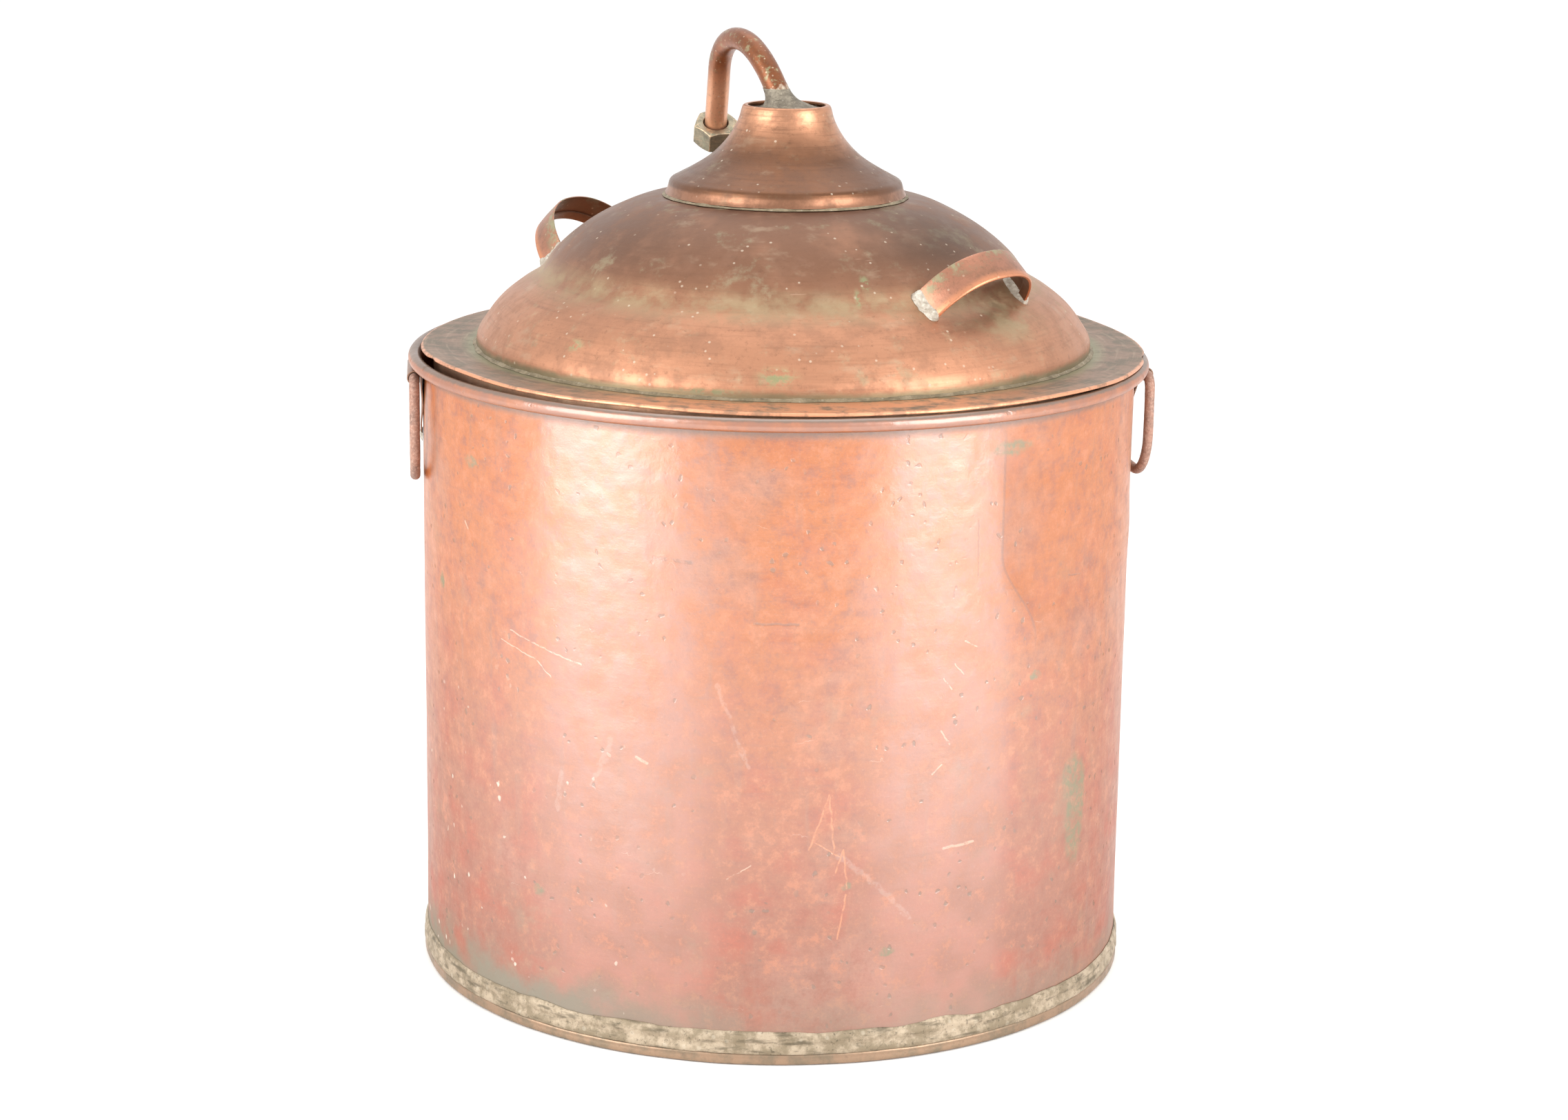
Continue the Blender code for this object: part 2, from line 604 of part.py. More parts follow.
def main():
    clear_scene()
    pot = empty("pot")
    pot_wall(finish("pot_wall", "wall"), pot)
    rim_wire(finish("rim_wire", "iron"), pot)
    bottom_pan(finish("bottom_pan", "bright"), pot)
    bottom_solder(finish("bottom_solder", "band"), pot)
    seam_solder(finish("seam_solder", "band"), pot)
    for side, azimuth, skew in RING_AZIMUTH:
        ring_clip(side + "_ring_clip", azimuth, skew, finish(side + "_ring_clip", "pipe"), pot)
        clip_solder(side + "_clip_solder", azimuth, finish(side + "_clip_solder", "band"), pot)
        ring_handle(side + "_ring", azimuth, skew, finish(side + "_ring", "iron"), pot)

    head = empty("still_head", (LID_SHIFT, 0.0, 0.0))
    lid_flange(finish("lid_flange", "dusty"), head)
    lid_skirt(finish("lid_skirt", "pipe"), head)
    shell("dome", dome_line(), DOME_SHEET, finish("dome", "dusty"), parent=head)
    foot_r, foot_z = (v * MM for v in DOME_POINTS[0])
    fillet_ring("dome_base_solder", foot_r + GAP, FLANGE_TOP_Z + GAP, 2.6 * MM, 2.2 * MM,
                finish("dome_base_solder", "band"), head)
    neck_cone(finish("neck_cone", "bright"), head)
    collar_r, collar_z = (v * MM for v in NECK_POINTS[0])
    fillet_ring("neck_solder", collar_r + GAP, collar_z - 0.8 * MM, 3.0 * MM, 2.4 * MM,
                finish("neck_solder", "band"), head)
    cap_plate(finish("cap_plate", "grey"), head)
    cap_solder(finish("cap_solder", "grey"), head)
    swan_neck(finish("swan_neck", "pipe"), head)
    pipe_ferrule(finish("pipe_ferrule", "brass"), head)
    union_nut(finish("union_nut", "brass"), head)
    for side, *sizes in STRAPS:
        strap_handle(side + "_strap", *sizes, finish(side + "_strap", "pipe"), head)
        for end, sign in (("front", 1 if side == "left" else -1), ("rear", -1 if side == "left" else 1)):
            name = side + "_strap_solder_" + end
            strap_foot(name, sign, *sizes, finish(name, "white"), head)


main()
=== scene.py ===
"""The visible surfaces of a copper alembic still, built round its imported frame.
Metres, +Z up, the pot's axis on Z.  Angles round the pot are measured from its front (-Y) towards +X."""

from math import cos, pi, radians, sin, sqrt, tan

import bpy
import numpy as np
from mathutils import Matrix, Vector


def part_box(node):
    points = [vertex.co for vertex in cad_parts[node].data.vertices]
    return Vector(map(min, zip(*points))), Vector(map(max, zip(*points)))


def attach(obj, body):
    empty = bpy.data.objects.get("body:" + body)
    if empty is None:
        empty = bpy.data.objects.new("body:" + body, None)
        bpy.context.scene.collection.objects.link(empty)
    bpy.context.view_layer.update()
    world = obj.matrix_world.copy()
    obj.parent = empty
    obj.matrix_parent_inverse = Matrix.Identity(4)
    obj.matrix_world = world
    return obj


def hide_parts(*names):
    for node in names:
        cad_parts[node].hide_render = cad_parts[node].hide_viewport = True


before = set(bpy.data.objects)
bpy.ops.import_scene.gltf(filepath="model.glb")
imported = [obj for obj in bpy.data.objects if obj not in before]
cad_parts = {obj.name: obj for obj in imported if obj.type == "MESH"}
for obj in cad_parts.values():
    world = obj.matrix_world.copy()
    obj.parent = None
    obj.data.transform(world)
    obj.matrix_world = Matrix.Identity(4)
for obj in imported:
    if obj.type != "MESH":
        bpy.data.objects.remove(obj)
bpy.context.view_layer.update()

MM = 0.001

# ---------------------------------------------------------------- sizes, as in the frame
WALL_R = 0.225
WALL_R_MM = 225.0
SHEET = 0.9 * MM
WALL_FOOT_Z = 1.6 * MM
WALL_BEND_Z = 0.382
BEAD_R = 229.6 * MM
BEAD_Z = 389.8 * MM
BEAD_TUBE = 4.15 * MM
HINGE_R = 0.230
HINGE_Z = 380.6 * MM
RING_ROD_R = 3.15 * MM
CLIP_TONGUE = 38 * MM
RINGS = (("right", 6.0, 4.0), ("left", 186.0, 0.0))     # azimuth from +X and skew, degrees
HEAD_X = (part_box("lid_flange")[0].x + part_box("lid_flange")[1].x) / 2
DOME_POINTS = ((193.6, 397.2), (193.3, 403.8), (188.1, 412.9), (180.2, 423.1), (166.9, 434.0),
               (154.7, 441.8), (144.0, 455.4), (127.9, 469.3), (108.1, 481.1), (85.2, 489.8),
               (74.0, 491.6), (72.4, 492.4), (71.6, 495.5), (70.6, 498.6))
NECK_POINTS = ((75.6, 492.4), (74.4, 494.4), (73.8, 496.4), (72.4, 500.6), (68.2, 503.2),
               (61.1, 507.0), (45.5, 517.3), (34.2, 530.5), (29.4, 540.5), (28.2, 545.0),
               (27.3, 547.1), (25.6, 547.8), (24.4, 547.5))
PIPE_R = 7.25 * MM     # a quarter millimetre inside the frame's pipe, which leaves room for its roughness
PIPE_IN_R = 6.4 * MM
PIPE_FOOT = Vector((-2.35, -5.2, 546.8)) * MM
PIPE_LEAN, PIPE_AZIMUTH, PIPE_ROLL = 23.7, 143.3, -30.4     # degrees; the roll turns the plane of the bends
PIPE_BENDS = ((66.7 * MM, 30.0, 26), (47.2 * MM, 98.9, 70))     # radius, angle, steps
PIPE_ROOT, PIPE_TAIL = 8, 52     # straight runs below the cap and after the bends, millimetres
# name, azimuth, radius and height of the middle, chord, rise, slope, width and foot
STRAPS = (("right", -41.5, 147.9, 440.6, 89.1, 36.0, 41.4, 20.8, 5.0),
          ("left", 146.7, 148.5, 441.7, 88.0, 37.5, 44.6, 21.4, 4.8))


# ---------------------------------------------------------------- noise and grids
def lattice(ix, iy, iz, seed):
    h = (ix * 374761393 + iy * 668265263 + iz * 1442695041 + seed * 974634777) & 0xFFFFFFFF
    h = ((h ^ (h >> 13)) * 1274126177) & 0xFFFFFFFF
    return ((h ^ (h >> 16)) & 0xFFFF) / 32767.5 - 1.0


def soft_noise(points, size, seed=0):
    """Smooth noise from -1 to 1 over points, with features of the given size."""
    q = np.asarray(points) / size
    whole = np.floor(q).astype(np.int64)
    part = q - whole
    part = part * part * (3 - 2 * part)
    total = 0.0
    for corner in range(8):
        bits = (corner & 1, corner >> 1 & 1, corner >> 2 & 1)
        weight = 1.0
        for axis, bit in enumerate(bits):
            weight = weight * (part[..., axis] if bit else 1 - part[..., axis])
        total = total + weight * lattice(*(whole[..., axis] + bit for axis, bit in enumerate(bits)), seed)
    return total


def rough_noise(points, size, seed=0, octaves=3):
    return sum(soft_noise(points, size / 2 ** k, seed + k) / 2 ** k for k in range(octaves))


def smooth_step(value, low, high):
    t = np.clip((np.asarray(value, float) - low) / (high - low), 0, 1)
    return t * t * (3 - 2 * t)


def hump(value, centre, half):
    """1 at the centre, falling smoothly to 0 at a distance of half."""
    return smooth_step(np.abs(np.asarray(value, float) - centre), half, 0.0)


def normals(grid, along=False):
    """Unit normals of a grid whose rows are closed sections."""
    across = np.roll(grid, -1, 1) - np.roll(grid, 1, 1)
    if along:
        down = np.roll(grid, -1, 0) - np.roll(grid, 1, 0)
    else:
        down = np.gradient(grid, axis=0)
    n = np.cross(across, down)
    return n / np.maximum(np.linalg.norm(n, axis=2, keepdims=True), 1e-12)


def roughen(grid, amount, size, seed, along=False, octaves=3):
    return grid + normals(grid, along) * (rough_noise(grid, size, seed, octaves) * amount)[..., None]


def skin(name, grid, finish, body, nodes=(), along=False, caps=False, sharp=40, fields=None):
    """A smooth surface over a grid of closed sections, turned outwards, riding on a body.
    along joins the last section to the first; fields are extra values kept at its points."""
    rows, count = grid.shape[:2]
    index = np.arange(rows * count).reshape(rows, count)
    low, high = (index, np.roll(index, -1, 0)) if along else (index[:-1], index[1:])
    quads = np.stack([low, np.roll(low, -1, 1), np.roll(high, -1, 1), high], -1).reshape(-1, 4)
    p = grid.reshape(-1, 3)
    a, b, c, d = (p[quads[:, k]] for k in range(4))
    volume = np.einsum("ij,ij->", a, np.cross(b, c)) + np.einsum("ij,ij->", a, np.cross(c, d))
    faces = quads.tolist()
    if caps:
        faces += [index[0][::-1].tolist(), index[-1].tolist()]
    if volume < 0:
        faces = [face[::-1] for face in faces]
    mesh = bpy.data.meshes.new(name)
    mesh.from_pydata(p.tolist(), [], faces)
    for field, values in (fields or {}).items():
        mesh.attributes.new(field, "FLOAT", "POINT").data.foreach_set(
            "value", np.ascontiguousarray(values, np.float32).ravel())
    mesh.materials.append(finish)
    mesh.shade_smooth()
    mesh.set_sharp_from_angle(angle=radians(sharp))
    piece = bpy.data.objects.new(name, mesh)
    bpy.context.scene.collection.objects.link(piece)
    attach(piece, body)
    if nodes:
        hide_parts(*nodes)
    return piece


def smooth_line(points, spacing):
    """Points evenly spaced on a smooth curve through the given ones."""
    p = np.asarray(points, float)
    ahead = np.concatenate([p[1:], [2 * p[-1] - p[-2]]])
    back = np.concatenate([[2 * p[0] - p[1]], p[:-1]])
    out = []
    for k in range(len(p) - 1):
        length = np.linalg.norm(p[k + 1] - p[k])
        before = max(np.linalg.norm(p[k] - back[k]), 1e-9)
        after = max(np.linalg.norm(ahead[k + 1] - p[k + 1]), 1e-9)
        m0 = ((p[k] - back[k]) / before * length + (p[k + 1] - p[k]) * before / length) \
            * length / (length + before)
        m1 = ((ahead[k + 1] - p[k + 1]) / after * length + (p[k + 1] - p[k]) * after / length) \
            * length / (length + after)
        steps = max(int(round(length / spacing)), 1)
        t = (np.arange(steps) / steps)[:, None]
        out.append((2 * t**3 - 3 * t**2 + 1) * p[k] + (t**3 - 2 * t**2 + t) * m0
                   + (3 * t**2 - 2 * t**3) * p[k + 1] + (t**3 - t**2) * m1)
    return np.concatenate(out + [p[-1:]])


def beside(line, distance):
    """A 2-D line moved sideways, to its left where the distance is positive."""
    run = np.gradient(np.asarray(line, float), axis=0)
    run /= np.linalg.norm(run, axis=1, keepdims=True)
    return line + np.stack([-run[:, 1], run[:, 0]], 1) * distance


def turned_grid(profile, segments, centre_x=0.0):
    """Sections of a turned surface, with the front angle of each point."""
    profile = np.asarray(profile, float)
    angle = np.linspace(-pi, pi, segments, endpoint=False)
    r, z = profile[:, :1], profile[:, 1:2]
    grid = np.stack([r * np.sin(angle), -r * np.cos(angle), z + 0 * angle], -1)
    return grid + np.array([centre_x, 0, 0]), np.degrees(angle)[None, :] + 0 * z


def push(grid, radial=0.0, up=0.0, centre_x=0.0):
    """A turned grid moved outwards from its axis and upwards."""
    flat = grid[..., :2] - np.array([centre_x, 0.0])
    out = flat / np.maximum(np.linalg.norm(flat, axis=2, keepdims=True), 1e-9)
    moved = grid.copy()
    moved[..., :2] += out * np.asarray(radial)[..., None]
    moved[..., 2] += up
    return moved


def both_sides(line, thickness):
    """The closed outline of a sheet from its outer line; the inner side lies to its left."""
    return np.concatenate([line, beside(line, thickness)[::-1]])


# ---------------------------------------------------------------- finishes
class Finish:
    """A material being put together: short calls that add nodes and give back their outputs."""

    def __init__(self, name):
        self.material = bpy.data.materials.new(name)
        self.material.use_nodes = True
        self.tree = self.material.node_tree
        self.shader = self.tree.nodes["Principled BSDF"]
        self.at = self.node("TexCoord").outputs["Object"]

    def node(self, kind, values=None, **settings):
        made = self.tree.nodes.new("ShaderNode" + kind)
        for key, value in settings.items():
            setattr(made, key, value)
        for key, value in (values or {}).items():
            self.put(made.inputs[key], value)
        return made

    def put(self, socket, value):
        if isinstance(value, bpy.types.NodeSocket):
            self.tree.links.new(value, socket)
        else:
            socket.default_value = value

    def sum(self, operation, a, b=0.0, c=0.0, clamp=False):
        return self.node("Math", {0: a, 1: b, 2: c}, operation=operation, use_clamp=clamp).outputs[0]

    def vector(self, operation, a, b=(0, 0, 0)):
        made = self.node("VectorMath", {0: a, 1: b}, operation=operation)
        return made.outputs["Value" if operation in ("DOT_PRODUCT", "LENGTH", "DISTANCE") else "Vector"]

    def parts(self, vector):
        return self.node("SeparateXYZ", {0: vector}).outputs[:3]

    def joined(self, x, y, z=0.0):
        return self.node("CombineXYZ", {0: x, 1: y, 2: z}).outputs[0]

    def round_pot(self, radius=WALL_R, centre_x=0.0):
        """Distance round the pot from its front and height, in metres."""
        x, y, z = self.parts(self.at)
        angle = self.sum("ARCTAN2", self.sum("SUBTRACT", x, centre_x), self.sum("MULTIPLY", y, -1.0))
        return self.sum("MULTIPLY", angle, radius), z

    def noise(self, size, at=None, stretch=(1, 1, 1), detail=3.0, roughness=0.55, distortion=0.0):
        at = self.at if at is None else at
        if tuple(stretch) != (1, 1, 1):
            at = self.vector("DIVIDE", at, stretch)
        return self.node("TexNoise", {"Vector": at, "Scale": 1 / size, "Detail": detail,
                                      "Roughness": roughness, "Distortion": distortion}).outputs["Fac"]

    def specks(self, size, radius, at=None):
        """1 inside scattered small dots."""
        made = self.node("TexVoronoi", {"Vector": self.at if at is None else at, "Scale": 1 / size,
                                        "Randomness": 1.0})
        return self.step(made.outputs["Distance"], radius, radius * 0.55)

    def step(self, value, low, high):
        return self.node("MapRange", {"Value": value, "From Min": low, "From Max": high},
                         interpolation_type="SMOOTHSTEP").outputs[0]

    def scaled(self, value, low, high):
        """A 0 to 1 value spread over low to high."""
        return self.node("MapRange", {"Value": value, "To Min": low, "To Max": high}).outputs[0]

    def mix(self, share, a, b, blend="MIX"):
        made = self.node("Mix", {0: share}, data_type="RGBA", blend_type=blend)
        for socket, value in ((made.inputs[6], a), (made.inputs[7], b)):
            self.put(socket, (*value, 1.0) if isinstance(value, tuple) else value)
        return made.outputs[2]

    def most(self, *masks):
        top = masks[0]
        for mask in masks[1:]:
            top = self.sum("MAXIMUM", top, mask)
        return top

    def times(self, *values):
        out = values[0]
        for value in values[1:]:
            out = self.sum("MULTIPLY", out, value)
        return out

    def stain(self, colour, noise, low, high, share, tone):
        """A tone laid over a colour where the noise runs from low to high."""
        return self.mix(self.times(self.step(noise, low, high), share), colour, tone)

    def weighed(self, *parts):
        """The sum of values, each with its weight."""
        total = self.times(*parts[0])
        for part in parts[1:]:
            total = self.sum("ADD", total, self.times(*part))
        return total

    def swing(self, noise, amount):
        """A noise turned into a movement about zero."""
        return self.times(self.sum("SUBTRACT", noise, 0.5), amount)

    def flat_blot(self, at, centre, half, soft=0.5):
        """A soft-edged oval patch in round-the-pot coordinates."""
        away = self.vector("DIVIDE", self.vector("SUBTRACT", at, (*centre, 0)), (*half, 1))
        return self.step(self.vector("LENGTH", away), 1.0, 1.0 - soft)

    def stroke(self, at, start, end, width):
        """A thin line between two points in round-the-pot coordinates."""
        run = (end[0] - start[0], end[1] - start[1], 0.0)
        length2 = run[0] ** 2 + run[1] ** 2
        away = self.vector("SUBTRACT", at, (*start, 0))
        share = self.sum("DIVIDE", self.vector("DOT_PRODUCT", away, run), length2, clamp=True)
        made = self.node("VectorMath", {0: run, "Scale": share}, operation="SCALE")
        gap = self.vector("DISTANCE", away, made.outputs["Vector"])
        return self.step(gap, width, width * 0.35)

    def bump(self, height, distance, strength=1.0, normal=None):
        values = {"Height": height, "Distance": distance, "Strength": strength}
        if normal is not None:
            values["Normal"] = normal
        return self.node("Bump", values).outputs["Normal"]

    def set(self, **sockets):
        for key, value in sockets.items():
            socket = self.shader.inputs[key.replace("_", " ")]
            self.put(socket, (*value, 1.0) if isinstance(value, tuple) and len(value) == 3 else value)
        return self.material


# ---------------------------------------------------------------- finishes of the object
# Marks on the wall and painted reflection streaks: front angle in degrees and height in millimetres of each
# end, width in millimetres
PALE_SCRATCHES = ((-44.7, 249, -30.4, 237, 1.1), (-46.9, 242, -39.1, 235, 0.9),
                  (-39.1, 235, -36.1, 226, 0.9),
                  (-56.8, 307, -55.9, 303, 1.5), (-20.9, 186, -19.2, 183, 2.2), (27.0, 129, 32.3, 130, 2.0),
                  (29.9, 255, 32.0, 251, 1.2), (28.2, 242, 29.8, 235, 1.0), (26.3, 234, 27.7, 227, 1.0),
                  (26.1, 202, 27.6, 193, 1.4), (24.7, 176, 26.3, 181, 1.1), (-6.7, 116, -3.1, 125, 0.9))
ORANGE_SCRATCHES = ((8.5, 168, 5.6, 135, 1.3), (8.6, 167, 9.4, 132, 1.3), (10.8, 134, 9.6, 120, 1.3),
                    (10.8, 134, 11.4, 110, 1.3), (11.3, 106, 10.1, 79, 1.4), (6.6, 139, 10.2, 130, 1.0))
# pale broad streaks: painted reflections, where the wall's waves stretch the lamps' light
PAINTED_REFLECTION_STREAKS = ((-25.2, 194, -28.3, 165, 5.0), (-34.1, 168, -34.8, 146, 4.0), (10.2, 130, 16.1, 111, 4.0),
                (16.1, 111, 21.3, 89, 4.0), (-8.5, 234, -3.6, 184, 3.0))
DARK_LINES = ((52.7, 281.6, 56.0, 279.6, 1.1), (-18.3, 308, -12.5, 307, 2.6), (-3.0, 272, 3.5, 272, 1.6),
              (31.7, 328, 32.0, 294, 1.0), (27.9, 289, 27.7, 283, 1.8))
# centre and half sizes in degrees and millimetres
OLIVE_BLOTS = ((55.1, 152, 4.2, 18), (55.6, 124, 3.4, 34), (57.6, 140, 1.6, 26), (38.0, 368, 5.0, 6),
               (-54.8, 345, 2.2, 4.5),
               (-38.4, 91, 1.5, 4), (17.9, 69, 1.6, 4), (11.5, 111, 1.0, 3), (44.0, 226, 1.5, 4),
               (-66.0, 262, 1.6, 6))


def arc(angle):
    return radians(angle) * WALL_R


def wall_finish():
    f = Finish("copper_wall")
    around, z = f.round_pot()
    flat = f.joined(around, z)
    shake = f.vector("SUBTRACT", f.node("TexNoise", {"Vector": f.at, "Scale": 160.0, "Detail": 2.0})
                     .outputs["Color"], (0.5, 0.5, 0.5))
    loose = f.vector("ADD", flat, f.vector("MULTIPLY", shake, (0.006, 0.006, 0.0)))
    crisp = f.vector("ADD", flat, f.vector("MULTIPLY", shake, (0.0022, 0.0022, 0.0)))

    cloud = f.noise(0.075, detail=4)
    small_cloud = f.noise(0.022, detail=5, roughness=0.62)
    grain = f.noise(0.0045, detail=4, roughness=0.7)
    drawn = f.noise(0.004, at=flat, stretch=(9, 1, 1), detail=4, roughness=0.65)
    dripped = f.noise(0.009, at=flat, stretch=(1, 12, 1), detail=3)

    rise = f.step(f.sum("ADD", z, f.scaled(cloud, -0.07, 0.07)), 0.03, 0.36)
    colour = f.mix(rise, (0.290, 0.110, 0.066), (0.46, 0.126, 0.018))
    rosy = f.times(f.step(small_cloud, 0.42, 0.68), f.scaled(rise, 0.75, 0.30))
    colour = f.mix(rosy, colour, (0.40, 0.085, 0.038))
    colour = f.stain(colour, cloud, 0.50, 0.70, 0.55, (0.34, 0.170, 0.120))
    colour = f.mix(f.times(f.step(drawn, 0.50, 0.78), f.scaled(rise, 0.40, 0.22)), colour,
                   (0.21, 0.10, 0.068))
    colour = f.stain(colour, dripped, 0.54, 0.78, 0.34, (0.25, 0.14, 0.10))
    colour = f.stain(colour, grain, 0.52, 0.80, 0.36, (0.18, 0.085, 0.055))

    mottle = f.noise(0.011, detail=6, roughness=0.75)
    colour = f.stain(colour, mottle, 0.49, 0.66, 0.52, (0.235, 0.080, 0.045))
    colour = f.stain(colour, mottle, 0.49, 0.34, 0.42, (0.56, 0.190, 0.085))
    fine = f.noise(0.0017, detail=3, roughness=0.7)
    colour = f.stain(colour, fine, 0.54, 0.74, 0.40, (0.20, 0.085, 0.052))
    colour = f.stain(colour, fine, 0.44, 0.28, 0.25, (0.52, 0.22, 0.12))
    # painted reflection: two broad upright pale bands where the side lamps are seen in the wall; and bare
    # metal to the right of the crease
    painted_band_reflection = f.most(f.times(f.step(around, arc(-44), arc(-30)), f.step(around, arc(-4), arc(-15))),
                   f.times(f.step(around, arc(10), arc(20)), f.step(around, arc(41), arc(35))))
    painted_band_reflection = f.times(painted_band_reflection, f.scaled(f.step(small_cloud, 0.35, 0.62), 0.15, 0.50), f.scaled(rise, 0.9, 1.0))
    colour = f.mix(painted_band_reflection, colour, (0.42, 0.225, 0.17))
    bend = f.scaled(f.step(z, 0.305, 0.250), arc(36.4), arc(43.9))
    beyond = f.sum("SUBTRACT", around, bend)
    bare = f.times(f.step(beyond, -0.0006, 0.0012), f.step(beyond, 0.100, 0.010), f.step(z, 0.215, 0.300),
                   f.step(z, 0.384, 0.366))
    colour = f.mix(f.times(bare, 0.25), colour, (0.42, 0.118, 0.030))
    # painted shade: a dark line along the crease
    painted_crease_shade = f.times(f.step(f.sum("ABSOLUTE", beyond), 0.0016, 0.0004), f.step(z, 0.235, 0.262),
                        f.step(z, 0.384, 0.366))
    colour = f.mix(f.times(painted_crease_shade, 0.45), colour, (0.22, 0.10, 0.065))

    # verdigris film, dark pits and flecks of paint
    film = f.times(f.step(f.noise(0.05, detail=5, roughness=0.7), 0.56, 0.74), f.scaled(rise, 0.40, 0.18))
    colour = f.mix(film, colour, (0.25, 0.185, 0.115))
    pits = f.times(f.specks(0.009, 0.19, at=f.vector("ADD", loose, (0, 0, 0.5))),
                   f.step(f.noise(0.03), 0.42, 0.58))
    colour = f.mix(f.times(pits, 0.50), colour, (0.13, 0.105, 0.075))
    paint = f.times(f.specks(0.012, 0.125, at=f.vector("MULTIPLY", loose, (1, 0.8, 1))),
                    f.step(around, -0.02, -0.17), f.step(z, 0.25, 0.10), f.step(f.noise(0.04), 0.43, 0.56))

    # the darkened ground above the solder, heavier at the left, and a dark band painted as shade under the
    # bead
    foot = f.times(f.step(f.sum("ADD", z, f.scaled(small_cloud, -0.030, 0.030)), 0.052, 0.018),
                   f.scaled(f.step(around, 0.02, -0.16), 0.40, 1.0))
    colour = f.mix(foot, colour, (0.19, 0.16, 0.11))
    # painted shade: a dark band just under the bead
    painted_shade_under_bead = f.times(f.step(z, 0.379, 0.3845), f.step(z, 0.3875, 0.3855), f.scaled(grain, 0.5, 1.0))
    colour = f.mix(painted_shade_under_bead, colour, (0.12, 0.07, 0.045))
    bead = f.times(f.step(z, 0.3852, 0.3875), f.scaled(f.step(small_cloud, 0.35, 0.62), 0.45, 1.0))
    colour = f.mix(bead, colour, (0.30, 0.110, 0.055))
    crown = f.times(f.step(f.sum("ADD", z, f.scaled(grain, -0.001, 0.001)), 0.3915, 0.3930), 0.85)
    colour = f.mix(crown, colour, (0.13, 0.085, 0.055))

    olive = f.most(*(f.flat_blot(loose, (arc(a), h * MM), (arc(w), t * MM)) for a, h, w, t in OLIVE_BLOTS))
    olive = f.times(olive, f.scaled(f.step(grain, 0.36, 0.62), 0.25, 0.85))
    colour = f.mix(olive, colour, (0.17, 0.165, 0.085))
    side = f.most(*(f.flat_blot(loose, (arc(a), 0.340), (arc(14.0), 0.050), 0.8) for a in (-90.0, 90.0)))
    side = f.times(side, f.scaled(f.step(small_cloud, 0.35, 0.62), 0.30, 0.90))
    colour = f.mix(side, colour, (0.14, 0.11, 0.08))

    def lines(rows, at):
        return f.most(*(f.stroke(at, (arc(a), h * MM), (arc(b), k * MM), w * 0.6 * MM) for a, h, b, k,
                        w in rows))

    torn = f.step(grain, 0.34, 0.55)
    # painted reflection: pale broad streaks
    painted_reflection_streak = f.times(lines(PAINTED_REFLECTION_STREAKS, loose), f.scaled(torn, 0.02, 0.20))
    colour = f.mix(painted_reflection_streak, colour, (0.52, 0.38, 0.32))
    dark = f.times(lines(DARK_LINES, crisp), f.scaled(torn, 0.08, 0.45))
    colour = f.mix(dark, colour, (0.16, 0.10, 0.075))
    orange = f.times(lines(ORANGE_SCRATCHES, crisp), f.scaled(torn, 0.1, 0.60))
    colour = f.mix(orange, colour, (0.60, 0.24, 0.11))
    pale = f.times(lines(PALE_SCRATCHES, crisp), f.scaled(torn, 0.04, 0.50))
    hair = f.times(f.step(f.noise(0.0011,
                                  at=f.vector("ADD", flat, f.vector("MULTIPLY", shake, (0.002, 0.01, 0))),
                                  stretch=(24, 1, 1), detail=1), 0.74, 0.80), f.step(cloud, 0.45, 0.60))
    colour = f.mix(f.times(hair, 0.45), colour, (0.60, 0.38, 0.28))
    colour = f.mix(pale, colour, (0.66, 0.47, 0.34))
    white = f.most(f.times(pale, 0.4), paint)
    colour = f.mix(paint, colour, (0.66, 0.58, 0.47))

    dull = f.most(f.times(olive, 0.9), f.times(side, 0.7), f.times(foot, 0.9), white, f.times(film, 0.8),
                  pits)
    rough = f.sum("ADD", f.scaled(rise, 0.47, 0.34), f.swing(small_cloud, 0.22))
    rough = f.sum("ADD", rough, f.swing(drawn, 0.14))
    rough = f.sum("ADD", rough, f.times(dull, 0.28), clamp=True)
    height = f.weighed((small_cloud, 0.5), (grain, 0.16), (drawn, 0.10))
    height = f.sum("SUBTRACT", height, f.times(f.most(orange, dark, pits), 0.25))
    height = f.sum("ADD", height, f.times(white, 0.35))
    waves = f.sum("ADD", f.times(f.noise(0.034, detail=2), 1.6), f.times(height, 0.55))
    # the gloss is strongest face on; dust takes it away towards grazing
    facing = f.node("LayerWeight", {"Blend": 0.5}).outputs["Facing"]
    gloss = f.times(f.scaled(f.step(facing, 0.25, 0.75), 1.0, 0.22), f.scaled(bare, 1.0, 0.80),
                    f.scaled(f.step(z, 0.02, 0.20), 0.62, 1.0))
    return f.set(Base_Color=colour, Roughness=rough, Metallic=f.scaled(dull, 0.28, 0.08), Coat_Weight=gloss,
                 Coat_IOR=2.05, Coat_Roughness=0.24, Specular_IOR_Level=0.25,
                 Normal=f.bump(height, 0.0011, 0.75), Coat_Normal=f.bump(waves, 0.0015, 0.8))


